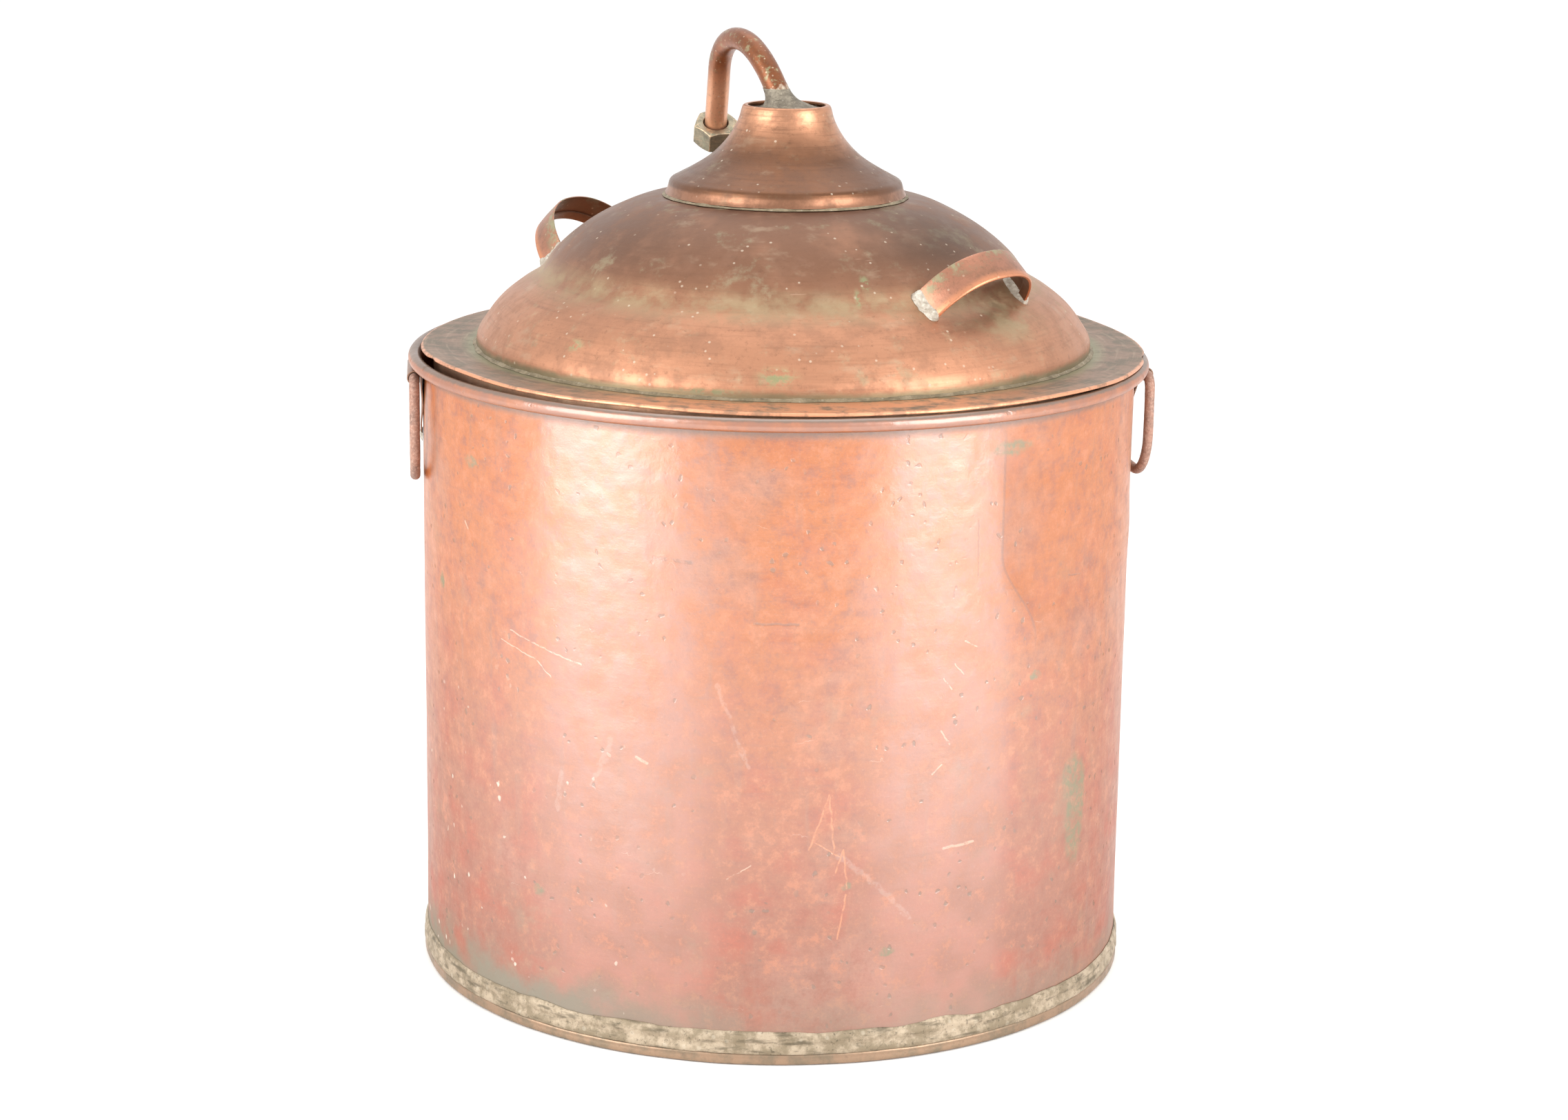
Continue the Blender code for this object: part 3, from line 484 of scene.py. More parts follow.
def aged_finish(name, low, high, brown, heights, rough, green=0.3, radius=0.19, dark_from=None, combed=0.25,
                patches=(), painted_collar_highlight=None, dust_and_shade=None):
    """Handled copper sheet: a tone at each end of its height, brown patina, pale specks and verdigris."""
    f = Finish(name)
    around, z = f.round_pot(radius, HEAD_X)
    flat = f.joined(around, z)
    cloud = f.noise(0.060, detail=4)
    blotch = f.noise(0.018, detail=5, roughness=0.65)
    grain = f.noise(0.0035, detail=4, roughness=0.7)
    rings = f.noise(0.0022, at=flat, stretch=(26, 1, 1), detail=4, roughness=0.65)
    swept = f.noise(0.004, stretch=(6.0, 5.0, 2.5), detail=4, roughness=0.6)
    rise = f.step(f.sum("ADD", z, f.scaled(cloud, -0.018, 0.018)), *heights)
    colour = f.mix(rise, low, high)
    colour = f.stain(colour, blotch, 0.42, 0.66, 0.50, brown)
    colour = f.stain(colour, cloud, 0.50, 0.70, 0.20, tuple(c * 1.25 for c in low))
    colour = f.stain(colour, rings, 0.46, 0.74, combed, tuple(c * 0.62 for c in brown))
    colour = f.stain(colour, swept, 0.55, 0.75, 0.28, (0.52, 0.42, 0.29))
    colour = f.stain(colour, grain, 0.54, 0.76, 0.40, tuple(c * 0.55 for c in brown))
    verdigris = f.times(f.step(f.noise(0.026, detail=6, roughness=0.72), 0.55, 0.70), green)
    colour = f.mix(verdigris, colour, (0.34, 0.36, 0.22))
    # settled dust in the dome's hollow, and painted shade on its upper right
    if dust_and_shade:
        low_z, high_z = dust_and_shade
        middle = (low_z + high_z) / 2
        settled = f.times(f.step(z, low_z, middle), f.step(z, high_z, middle), f.step(blotch, 0.30, 0.62))
        settled = f.most(f.times(settled, 0.55),
                         f.times(f.flat_blot(flat, (radians(52) * radius, 0.434), (0.060, 0.020), 0.9),
                                                         f.scaled(f.step(swept, 0.40, 0.60), 0.15, 0.70)))
        colour = f.mix(settled, colour, (0.42, 0.345, 0.20))
        # painted shade: the dome's upper right darkened
        shade = f.flat_blot(flat, (radians(50) * radius, 0.476), (0.110, 0.024), 0.9)
        colour = f.mix(f.times(shade, 0.62), colour, (0.085, 0.046, 0.028))
    if patches:
        spots = f.most(*(f.flat_blot(flat, (radians(a) * radius, h * MM), (w * MM, t * MM), 0.9)
                         for a, h, w, t in patches))
        spots = f.times(spots, f.step(f.noise(0.006, detail=5, roughness=0.75), 0.43, 0.53))
        verdigris = f.most(verdigris, spots)
        colour = f.mix(f.times(spots, 0.8), colour, (0.20, 0.245, 0.115))
    dust = f.times(f.specks(0.007, 0.15), f.step(f.noise(0.03, detail=2), 0.46, 0.58))
    colour = f.mix(f.times(dust, 0.55), colour, (0.62, 0.53, 0.41))
    if dark_from:
        joint = f.step(f.sum("ADD", z, f.scaled(blotch, -0.004, 0.004)), *dark_from)
        colour = f.mix(f.times(joint, 0.8), colour, (0.26, 0.245, 0.15))
    # painted highlight: brighter copper round the collar at the neck's foot
    if painted_collar_highlight:
        colour = f.mix(f.times(f.step(z, *painted_collar_highlight), f.scaled(f.step(blotch, 0.62, 0.42), 0.35, 1.0)), colour,
                       (0.36, 0.172, 0.100))
    rub = f.times(f.step(f.noise(0.0016, stretch=(14, 14, 1.4), detail=2), 0.68, 0.76),
                  f.step(cloud, 0.44, 0.6))
    colour = f.mix(f.times(rub, 0.18), colour, (0.80, 0.52, 0.38))
    dull = f.most(f.times(verdigris, 1.4), f.times(dust, 0.7), f.times(f.step(blotch, 0.45, 0.7), 0.35))
    roughness = f.sum("ADD", f.swing(blotch, 0.30), rough)
    roughness = f.sum("ADD", roughness, f.times(dull, 0.22), clamp=True)
    height = f.weighed((blotch, 0.5), (grain, 0.20), (rings, 0.18))
    return f.set(Base_Color=colour, Roughness=roughness, Metallic=f.scaled(dull, 0.95, 0.30),
                 Coat_Weight=0.25,
                 Coat_Roughness=0.45, Normal=f.bump(height, 0.0007, 0.6))


def flange_finish():
    f = Finish("flange_copper")
    x, y, z = f.parts(f.at)
    reach = f.vector("LENGTH", f.joined(f.sum("SUBTRACT", x, HEAD_X), y))
    around, _ = f.round_pot(0.21, HEAD_X)
    flat = f.joined(around, reach)
    blotch = f.noise(0.014, detail=5, roughness=0.68)
    grain = f.noise(0.003, detail=4, roughness=0.7)
    scuff = f.noise(0.0030, at=flat, stretch=(16, 1, 1), detail=4, roughness=0.65)
    colour = f.mix(f.step(blotch, 0.38, 0.64), (0.27, 0.165, 0.108), (0.155, 0.118, 0.078))
    colour = f.stain(colour, scuff, 0.50, 0.70, 0.45, (0.42, 0.31, 0.215))
    colour = f.stain(colour, grain, 0.50, 0.75, 0.50, (0.12, 0.09, 0.06))
    inner = f.step(f.sum("ADD", reach, f.scaled(blotch, -0.007, 0.007)), 0.206, 0.195)
    colour = f.mix(f.times(inner, 0.75), colour, (0.26, 0.26, 0.15))
    front = f.times(f.step(f.sum("ABSOLUTE", f.sum("ADD", around, -0.02)), 0.20, 0.05),
                    f.step(blotch, 0.70, 0.40))
    colour = f.mix(f.times(front, 0.85), colour, (0.70, 0.315, 0.160))
    # bright along the outer edge and down the lip: rubbed copper, lightened further as a painted highlight
    # painted highlight on the rounded outer edge
    edge = f.step(f.sum("ADD", reach, f.scaled(grain, -0.0012, 0.0012)), 0.2262, 0.2279)
    edge = f.times(edge, f.scaled(f.step(blotch, 0.60, 0.45), 0.35, 1.0))
    colour = f.mix(edge, colour, (0.80, 0.36, 0.20))
    rough = f.sum("ADD", f.scaled(edge, 0.52, 0.36), f.swing(blotch, 0.3), clamp=True)
    height = f.weighed((blotch, 0.5), (grain, 0.3))
    return f.set(Base_Color=colour, Roughness=rough, Metallic=f.scaled(blotch, 0.95, 0.45), Coat_Weight=0.2,
                 Coat_Roughness=0.45, Normal=f.bump(height, 0.0007, 0.7))


def solder_finish(name, pale, mid, dark, grime=0.5, size=1.0):
    """Wiped tin solder gone dull: cream and grey-green patches with dirt in the low places."""
    f = Finish(name)
    blotch = f.noise(0.012 * size, detail=6, roughness=0.7)
    grain = f.noise(0.0022 * size, detail=4, roughness=0.7)
    wiped = f.noise(0.004 * size, stretch=(5, 5, 1), detail=4)
    colour = f.mix(f.step(blotch, 0.38, 0.60), pale, mid)
    colour = f.stain(colour, wiped, 0.52, 0.70, grime, dark)
    colour = f.stain(colour, grain, 0.55, 0.72, grime, tuple(c * 0.6 for c in dark))
    colour = f.mix(f.times(f.specks(0.009 * size, 0.20), 0.18), colour, (0.70, 0.64, 0.52))
    height = f.weighed((blotch, 0.8), (grain, 0.35))
    rough = f.scaled(wiped, 0.42, 0.72)
    return f.set(Base_Color=colour, Roughness=rough, Metallic=f.scaled(blotch, 0.55, 0.15),
                 Normal=f.bump(height, 0.0009 * size, 0.8))


def iron_finish():
    f = Finish("rusty_iron")
    blotch = f.noise(0.010, detail=5, roughness=0.7)
    grain = f.noise(0.0016, detail=4, roughness=0.75)
    colour = f.mix(f.step(blotch, 0.36, 0.64), (0.40, 0.215, 0.155), (0.255, 0.15, 0.115))
    colour = f.stain(colour, grain, 0.46, 0.66, 0.7, (0.56, 0.37, 0.29))
    colour = f.stain(colour, grain, 0.44, 0.30, 0.6, (0.13, 0.075, 0.055))
    height = f.weighed((blotch, 0.4), (grain, 0.5))
    return f.set(Base_Color=colour, Roughness=f.scaled(grain, 0.48, 0.80),
                 Metallic=f.scaled(blotch, 0.45, 0.15),
                 Normal=f.bump(height, 0.0007, 0.9))


def pipe_finish():
    """Brown on the outside of the bend, brighter inside, tinned at the foot and near the nut."""
    f = Finish("pipe_copper")
    run = f.node("Attribute", attribute_name="run").outputs["Fac"]
    out = f.node("Attribute", attribute_name="outer").outputs["Fac"]
    blotch = f.noise(0.011, detail=5, roughness=0.68)
    grain = f.noise(0.0022, detail=4, roughness=0.7)
    colour = f.mix(f.step(blotch, 0.36, 0.66), (0.32, 0.098, 0.032), (0.20, 0.066, 0.026))
    colour = f.stain(colour, out, 0.25, 0.85, 0.55, (0.17, 0.058, 0.022))
    # painted reflection: the descending leg is given bright copper, standing in for the light it catches
    colour = f.mix(f.times(f.step(run, 0.105, 0.150), f.step(run, 0.190, 0.165), 0.85), colour,
                   (0.78, 0.40, 0.24))
    green = f.times(f.step(f.noise(0.008, stretch=(1, 1, 1), detail=6, roughness=0.75), 0.54, 0.66),
                    f.scaled(out, 0.15, 0.75))
    colour = f.mix(green, colour, (0.30, 0.31, 0.17))
    colour = f.stain(colour, grain, 0.52, 0.72, 0.45, (0.16, 0.10, 0.065))
    colour = f.mix(f.times(f.specks(0.004, 0.17), 0.6), colour, (0.66, 0.50, 0.36))
    foot = f.step(f.sum("ADD", run, f.scaled(blotch, -0.010, 0.010)), 0.0195, 0.0165)
    tail = f.times(f.step(f.sum("ADD", run, f.scaled(blotch, -0.014, 0.014)), 0.172, 0.186),
                   f.step(grain, 0.62, 0.42))
    tin = f.mix(f.step(blotch, 0.40, 0.62), (0.60, 0.52, 0.40), (0.33, 0.27, 0.19))
    tinned = f.most(foot, f.times(tail, 0.75))
    colour = f.mix(f.times(tinned, 0.9), colour, tin)
    height = f.weighed((blotch, 0.5), (grain, 0.3), (tinned, 0.6))
    rough = f.sum("ADD", f.scaled(tinned, 0.36, 0.55), f.swing(blotch, 0.3), clamp=True)
    dull = f.most(green, f.times(tinned, 0.8))
    return f.set(Base_Color=colour, Roughness=rough, Metallic=f.scaled(dull, 0.70, 0.25), Coat_Weight=0.22,
                 Coat_Roughness=0.30, Normal=f.bump(height, 0.0006, 0.7))


def strap_finish():
    f = Finish("strap_copper")
    across = f.node("Attribute", attribute_name="across").outputs["Fac"]     # 0 upper edge, 1 folded edge
    inside = f.node("Attribute", attribute_name="inside").outputs["Fac"]
    blotch = f.noise(0.012, detail=5, roughness=0.68)
    grain = f.noise(0.0022, detail=4, roughness=0.7)
    colour = f.mix(f.step(blotch, 0.38, 0.66), (0.45, 0.205, 0.130), (0.31, 0.155, 0.098))
    colour = f.stain(colour, across, 0.72, 0.93, 0.85, (0.68, 0.285, 0.150))
    green = f.times(f.step(f.noise(0.012, detail=6, roughness=0.75), 0.47, 0.60),
                    f.step(across, 0.62, 0.10))
    colour = f.mix(f.times(green, 0.65), colour, (0.27, 0.30, 0.165))
    colour = f.stain(colour, inside, 0.3, 0.7, 0.8, (0.22, 0.125, 0.08))
    colour = f.stain(colour, grain, 0.52, 0.74, 0.45, (0.15, 0.10, 0.065))
    colour = f.mix(f.times(f.specks(0.006, 0.15), 0.4), colour, (0.72, 0.52, 0.38))
    height = f.weighed((blotch, 0.5), (grain, 0.3))
    rough = f.sum("ADD", f.swing(blotch, 0.3), 0.42, clamp=True)
    return f.set(Base_Color=colour, Roughness=rough, Metallic=f.scaled(green, 0.95, 0.4), Coat_Weight=0.2,
                 Coat_Roughness=0.4, Normal=f.bump(height, 0.0006, 0.7))


def nut_finish():
    f = Finish("nut_brass")
    edge = f.node("Attribute", attribute_name="edge").outputs["Fac"]
    blotch = f.noise(0.007, detail=5, roughness=0.7)
    grain = f.noise(0.0016, detail=4, roughness=0.7)
    filed = f.noise(0.0012, stretch=(7, 7, 1), detail=3)
    colour = f.mix(f.step(blotch, 0.36, 0.64), (0.36, 0.31, 0.22), (0.22, 0.20, 0.145))
    colour = f.stain(colour, filed, 0.50, 0.72, 0.45, (0.52, 0.38, 0.25))
    colour = f.stain(colour, grain, 0.52, 0.72, 0.5, (0.13, 0.105, 0.07))
    colour = f.mix(f.times(f.step(edge, 0.35, 0.9), f.step(blotch, 0.66, 0.42), 0.85), colour,
                   (0.72, 0.52, 0.33))
    colour = f.mix(f.times(f.step(f.noise(0.009, detail=4), 0.56, 0.68), 0.5), colour, (0.33, 0.35, 0.24))
    height = f.weighed((blotch, 0.4), (grain, 0.4))
    return f.set(Base_Color=colour, Roughness=f.scaled(blotch, 0.34, 0.62),
                 Metallic=f.scaled(grain, 1.0, 0.55),
                 Normal=f.bump(height, 0.0005, 0.8))


def pan_finish():
    """The bright turned-up edge of the bottom pan, with dirt in the grain."""
    f = Finish("bead_copper")
    blotch = f.noise(0.014, detail=5, roughness=0.68)
    grain = f.noise(0.0025, detail=4, roughness=0.7)
    colour = f.mix(f.step(blotch, 0.40, 0.66), (0.38, 0.255, 0.170), (0.25, 0.195, 0.135))
    colour = f.stain(colour, grain, 0.52, 0.74, 0.5, (0.22, 0.14, 0.09))
    height = f.weighed((blotch, 0.5), (grain, 0.35))
    rough = f.sum("ADD", f.swing(blotch, 0.3), 0.40, clamp=True)
    return f.set(Base_Color=colour, Roughness=rough, Metallic=f.scaled(grain, 1.0, 0.6),
                 Normal=f.bump(height, 0.0006, 0.7))


WALL = wall_finish()
DOME = aged_finish("dome_copper", (0.52, 0.250, 0.145), (0.180, 0.085, 0.048), (0.25, 0.122, 0.070),
                   (0.418, 0.474),
                   0.48, 0.34, dark_from=(0.4035, 0.3990),
                   dust_and_shade=(0.432, 0.457),
                   patches=((-1.0, 410, 17, 8), (-13.0, 401, 30, 3), (19.5, 457, 6, 6), (17.0, 449, 4, 7),
                            (-42.0, 418, 10, 5)))
NECK = aged_finish("neck_copper", (0.170, 0.072, 0.034), (0.62, 0.30, 0.17), (0.14, 0.062, 0.031),
                   (0.512, 0.542),
                   0.37, 0.18, radius=0.05, painted_collar_highlight=(0.4990, 0.4965), combed=0.4)
SKIRT = aged_finish("skirt_copper", (0.40, 0.22, 0.14), (0.46, 0.25, 0.15), (0.26, 0.16, 0.11),
                    (0.37, 0.395), 0.45, 0.3)
FLANGE = flange_finish()
PAN = pan_finish()
CLIP = aged_finish("clip_copper", (0.42, 0.22, 0.14), (0.30, 0.165, 0.11), (0.20, 0.125, 0.085),
                   (0.34, 0.38), 0.42, 0.3)
BAND = solder_finish("wiped_solder", (0.46, 0.37, 0.265), (0.25, 0.195, 0.125), (0.095, 0.075, 0.045), 0.75)
GREEN_BAND = solder_finish("joint_solder", (0.30, 0.24, 0.155), (0.19, 0.15, 0.09), (0.10, 0.075, 0.045),
                           0.6, 0.6)
WHITE = solder_finish("white_solder", (0.60, 0.56, 0.48), (0.38, 0.33, 0.265), (0.18, 0.145, 0.105), 0.5,
                      0.5)
MOUND = solder_finish("mound_solder", (0.28, 0.24, 0.18), (0.15, 0.125, 0.092), (0.07, 0.057, 0.042), 0.75,
                      0.5)
IRON = iron_finish()
PIPE = pipe_finish()
STRAP = strap_finish()
NUT = nut_finish()


# ---------------------------------------------------------------- pot
def wall_dents(angle, z):
    """Radial movement of the wall's sheet in millimetres: long waves, a crease and a few knocks."""
    x = np.radians(angle) * WALL_R_MM
    ring = np.stack([np.sin(np.radians(angle)) * WALL_R_MM, np.cos(np.radians(angle)) * WALL_R_MM, z], -1)
    moved = soft_noise(ring, 95, 3) * 0.55 + soft_noise(ring, 38, 8) * 0.16
    moved += 0.35 * np.cos(np.radians(2 * angle + 30))
    # right: a shallow hollow whose left edge is a crease running down and bending away
    crease = 36.4 + 7.5 * smooth_step(z, 305, 250) ** 1.3
    within = smooth_step(z, 235, 275) * smooth_step(z, 384, 350)
    past = np.maximum(angle - crease, 0.0)
    moved -= 1.9 * (1 - np.exp(-past / 2.4)) * smooth_step(angle, crease + 42, crease + 12) * within
    # left: a short curved crease
    moved -= 0.45 * hump(angle, -33.0, 6.0) * hump(z, 306, 24) * smooth_step(angle, -39.5, -37.0)
    moved += 0.7 * hump(angle, 80.0, 16.0) * hump(z, 288, 26)
    moved -= 0.30 * hump(z, 266.5, 3.5) * smooth_step(angle, -8, -2) * smooth_step(angle, 24, 16)
    moved -= 0.8 * hump(angle, -8.0, 9.0) * hump(z, 175, 50)
    moved += 0.5 * hump(angle, -20.0, 14.0) * hump(z, 90, 60)
    for a, h, size, deep in ((-26.5, 178, 16, 0.35), (14, 105, 20, 0.5), (47, 205, 22, 0.5),
                             (-52, 140, 24, 0.6),
                             (120, 200, 40, 1.3), (-140, 260, 34, 1.1), (165, 120, 40, 1.0)):
        away = np.sqrt(((x - np.radians(a) * WALL_R_MM) / size) ** 2 + ((z - h) / size) ** 2)
        moved -= deep * smooth_step(away, 1.0, 0.0)
    return moved * smooth_step(z, 8, 40) * smooth_step(z, 392, 345)


def make_wall():
    curl_mid = BEAD_TUBE - SHEET / 2
    mid_r = WALL_R - SHEET / 2
    rows = 138
    straight = np.stack([np.full(rows, mid_r), np.linspace(WALL_FOOT_Z, WALL_BEND_Z, rows)], 1)
    turns = np.radians(np.linspace(176.0, -152.0, 30))
    curl = np.stack([BEAD_R + curl_mid * np.cos(turns), BEAD_Z + curl_mid * np.sin(turns)], 1)
    line = np.concatenate([straight, curl])
    outline = np.concatenate([beside(line, -SHEET / 2), beside(line, SHEET / 2)[::-1]])
    grid, angle = turned_grid(outline, 288)
    moved = wall_dents(angle, grid[..., 2] * 1000) * MM
    ripple = soft_noise(grid * np.array([1, 1, 0]), 0.05, 21) * 0.10 * MM * smooth_step(grid[..., 2], 0.380,
                                                                                        0.388)
    grid = push(grid, moved - np.abs(ripple))
    return skin("pot_wall_sheet", grid, WALL, "pot", ["pot_wall"], along=True, sharp=60)


def make_pan():
    line = smooth_line([(0.2245, 0.0004), (0.2262, 0.0004), (0.2268, 0.0010), (0.2270, 0.0020),
                        (0.22695, 0.0045),
                        (0.2269, 0.0063), (0.2265, 0.0067), (0.2260, 0.0064), (0.2258, 0.0050),
                        (0.2257, 0.0014)],
                       0.0005)
    flat_top = np.stack([np.linspace(0.224, 0.0004, 14), np.full(14, 0.0012)], 1)
    flat_low = np.stack([np.linspace(0.0004, 0.2225, 14), np.full(14, 0.0)], 1)
    grid, _ = turned_grid(np.concatenate([line, flat_top, flat_low]), 360)
    wave = soft_noise(grid, 0.030, 5) * 0.35 * MM - 0.15 * MM
    near = smooth_step(np.hypot(grid[..., 0], grid[..., 1]), 0.2250, 0.2262)
    grid = push(grid, np.minimum(wave * near, 0.0),
                soft_noise(grid, 0.018, 9) * 0.4 * MM * smooth_step(grid[..., 2], 0.003, 0.006))
    return skin("pan_copper", grid, PAN, "pot", ["bottom_pan"], along=True, sharp=50)


def make_foot_solder():
    """The wiped band: two soft ridges, an uneven upper edge, and a few runs."""
    outer = smooth_line([(0.22522, 0.0210), (0.2257, 0.0206), (0.2266, 0.0184), (0.2270, 0.0158),
                         (0.22665, 0.0135),
                         (0.2269, 0.0115), (0.2273, 0.0096), (0.2271, 0.0078), (0.2267, 0.0069)], 0.0006)
    inner = np.stack([np.full(8, 0.22512), np.linspace(0.0069, 0.0209, 8)], 1)
    grid, angle = turned_grid(np.concatenate([outer, inner]), 480)
    z = grid[..., 2]
    edge = rough_noise(np.stack([np.sin(np.radians(angle)) * 0.225, np.cos(np.radians(angle)) * 0.225,
                                 0 * z], -1),
                       0.030, 31, 4)
    rise = smooth_step(z, 0.012, 0.021)
    grid = push(grid, rough_noise(grid, 0.008, 12, 3) * 0.30 * MM
                * smooth_step(np.hypot(grid[..., 0], grid[..., 1]), 0.2252, 0.2262),
                (edge * 1.5 * MM - 0.6 * MM + 2.5 * MM * hump(angle, 27, 9)) * rise)
    return skin("foot_solder_band", grid, BAND, "pot", ["bottom_solder"], along=True, sharp=70)


def make_seam():
    stations = np.linspace(0.0225, 0.378, 130)
    section = np.array([(-4.5, 0.05), (-3.6, 0.35), (-2.2, 0.75), (-0.8, 0.95), (0.8, 0.95), (2.2, 0.8),
                        (3.6, 0.35),
                        (4.5, 0.05), (3.0, -0.2), (0.0, -0.2), (-3.0, -0.2)]) * MM
    grid = np.stack([np.stack([section[:, 0] + 0 * s, WALL_R + section[:, 1], np.full(len(section), s)], -1)
                     for s in stations])
    grid[..., 0] *= 1 + 0.22 * soft_noise(grid * np.array([0, 0, 1]), 0.02, 4)
    push_out = wall_dents(np.full(stations.shape, 179.9), stations * 1000) * MM
    grid[..., 1] += push_out[:, None] + soft_noise(grid, 0.009, 6) * 0.14 * MM
    return skin("seam_solder_line", grid, BAND, "pot", ["seam_solder"], caps=True, sharp=70)


# ---------------------------------------------------------------- ring handles
def basis(azimuth, skew=0.0):
    a, b = radians(azimuth), radians(azimuth + skew)
    return np.array([cos(a), sin(a), 0.0]), np.array([-sin(b), cos(b), 0.0])


def carried(path, cyclic=False):
    """Tangents and two side directions carried steadily along a path."""
    if cyclic:
        run = np.roll(path, -1, 0) - np.roll(path, 1, 0)
    else:
        run = np.gradient(path, axis=0)
    run /= np.linalg.norm(run, axis=1, keepdims=True)
    side = np.array(Vector(run[0]).orthogonal().normalized())
    sides = []
    for t in run:
        side = side - t * (side @ t)
        side = side / np.linalg.norm(side)
        sides.append(side)
    sides = np.array(sides)
    return run, sides, np.cross(run, sides)


def tube(path, radius, count, cyclic=False):
    _, a, b = carried(path, cyclic)
    turn = np.linspace(0, 2 * pi, count, endpoint=False)
    radius = np.broadcast_to(np.asarray(radius, float), (len(path),))
    return (path[:, None]
            + (a[:, None] * np.cos(turn)[None, :, None] + b[:, None] * np.sin(turn)[None, :, None])
            * radius[:, None, None])


def make_ring(name, azimuth, skew):
    out, along = basis(azimuth, skew)
    down = np.array([0.0, 0.0, -1.0])
    w, h, top, low = 36 * MM, 65 * MM, 8 * MM, 29 * MM
    corners = ((w - top, top, top, -90), (w - low, h - low, low, 0), (low - w, h - low, low, 90),
               (top - w, top, top, 180))
    path = []
    for across, deep, radius, first in corners:
        steps = 16 if radius < 0.02 else 34
        for k in range(steps + 1):
            a = radians(first + 90 * k / steps)
            path.append(along * (across + radius * cos(a)) + down * (deep + radius * sin(a)))
    path = np.array(path) + out * HINGE_R + np.array([0, 0, HINGE_Z])
    closed = np.concatenate([path, path[:1]])
    spaced = smooth_line(closed, 0.0016)[:-1]
    keep = [0]
    for k in range(1, len(spaced)):
        if np.linalg.norm(spaced[k] - spaced[keep[-1]]) > 0.0011:
            keep.append(k)
    spaced = spaced[keep]
    worn = RING_ROD_R + soft_noise(spaced, 0.012, 17) * 0.07 * MM
    grid = roughen(tube(spaced, worn, 20, True), 0.045 * MM, 0.0022, 5, True)
    return skin(name + "_ring_iron", grid, IRON, name + "_ring", [name + "_ring"], along=True,
                sharp=80)


def make_clip(name, azimuth, skew):
    """Sheet clip: a tapering tongue that lies on the wall, then a curl round the ring's top bar."""
    out, along = basis(azimuth, skew)
    _, square = basis(azimuth)
    thick, mid = 0.8 * MM, 4.0 * MM
    wide, narrow = 27, 8
    tongue_r = WALL_R + 0.45 * MM + thick / 2
    shares = np.linspace(1.0, 0.16, 26)
    line = [(tongue_r + 0.25 * MM * sin(9 * s), HINGE_Z - CLIP_TONGUE * s) for s in shares]
    for k in range(41):
        a = radians(176.0 - 318.0 * k / 40)
        line.append((HINGE_R + mid * cos(a), HINGE_Z + mid * sin(a)))
    stations = np.concatenate([shares, np.zeros(41)])
    line = np.array(line)
    near, far = beside(line, -thick / 2), beside(line, thick / 2)
    across = np.linspace(-1, 1, 27)
    rows = []
    for inner, outer, tongue in zip(far, near, stations):
        half = wide * MM + (narrow - wide) * MM * tongue ** 1.3
        wrap = min(tongue / 0.5, 1.0)
        row = []
        for side, order in ((outer, across), (inner, across[::-1])):
            for u in order:
                shift = u * half
                sag = (WALL_R - sqrt(WALL_R ** 2 - shift ** 2)) * wrap
                row.append(out * (side[0] - sag) + (along * (1 - wrap) + square * wrap) * shift
                           + np.array([0, 0, side[1]]))
        rows.append(row)
    grid = np.array(rows)
    grid = grid + out * (soft_noise(grid, 0.011, 13) * 0.10 * MM - 0.01 * MM)[..., None]
    return skin(name + "_clip_sheet", grid, CLIP, "pot", [name + "_ring_clip"], caps=True,
                sharp=50)


def make_clip_solder(name, azimuth):
    out, along = basis(azimuth)
    top = HINGE_Z - CLIP_TONGUE - 0.3 * MM
    rows = []
    for s in np.linspace(0, 1, 22):
        half = (9.5 * (1 - s ** 3) + 0.6) * MM
        proud = (1.5 * sin(pi * min(0.25 + 0.75 * s, 0.985)) + 0.15) * MM
        u = np.linspace(-1, 1, 19)
        shift = u * half
        r_out = np.sqrt(WALL_R ** 2 - shift ** 2) + 0.3 * MM + proud * np.sqrt(np.clip(1 - u * u, 0, 1))
        r_in = np.sqrt(WALL_R ** 2 - shift ** 2) + 0.22 * MM
        shift = np.concatenate([shift, shift[::-1]])
        r = np.concatenate([r_out, r_in[::-1]])
        rows.append(out * r[:, None] + along * shift[:, None] + np.array([0, 0, top - 7 * MM * s]))
    grid = np.array(rows)
    grid = grid + out * (rough_noise(grid, 0.005, 23) * 0.16 * MM)[..., None]
    return skin(name + "_clip_solder_lump", grid, WHITE, "pot", [name + "_clip_solder"],
                caps=True, sharp=60)


# ---------------------------------------------------------------- still head
def make_flange():
    r, z, lip, t = 228.4 * MM, 396.6 * MM, 394.5 * MM, SHEET
    corner = [(r - 1.2 * MM + 1.2 * MM * cos(a), z - 1.2 * MM + 1.2 * MM * sin(a))
              for a in np.linspace(0, pi / 2, 7)]
    outer = [(r - 0.35 * MM, lip), (r - 0.05 * MM, lip + 0.25 * MM), (r, lip + 0.6 * MM)] + corner
    top = [(v, z) for v in np.linspace(0.2268, 0.1910, 26)]
    low = [(v, z - t) for v in np.linspace(0.1910, 0.2264, 26)]
    inner = [(r - t, z - t - 0.5 * MM), (r - t - 0.02 * MM, lip + 0.3 * MM)]
    grid, angle = turned_grid(np.array(outer + top + low + inner), 480, HEAD_X)
    reach = np.hypot(grid[..., 0] - HEAD_X, grid[..., 1])
    free = smooth_step(reach, 0.1975, 0.2270)
    lift = (3.0 * hump(angle, -62, 30) + 1.2 * hump(angle, -25, 22) + 3.6 * hump(angle, 140, 38)
            + 0.7 * hump(angle, 40, 26) + 1.0 * hump(angle, -150, 30))
    lift = lift + 0.25 * soft_noise(grid * np.array([1, 1, 0]), 0.035, 2)
    knock = -2.2 * hump(angle, 84, 5) - 1.4 * hump(angle, -71, 3)
    knock = knock - 0.25 * np.abs(soft_noise(grid * np.array([1, 1, 0]), 0.06, 19))
    grid = push(grid, knock * MM * free, np.maximum(lift, -0.2) * MM * free, HEAD_X)
    return skin("flange_sheet", grid, FLANGE, "still_head", ["lid_flange"], along=True,
                sharp=50)


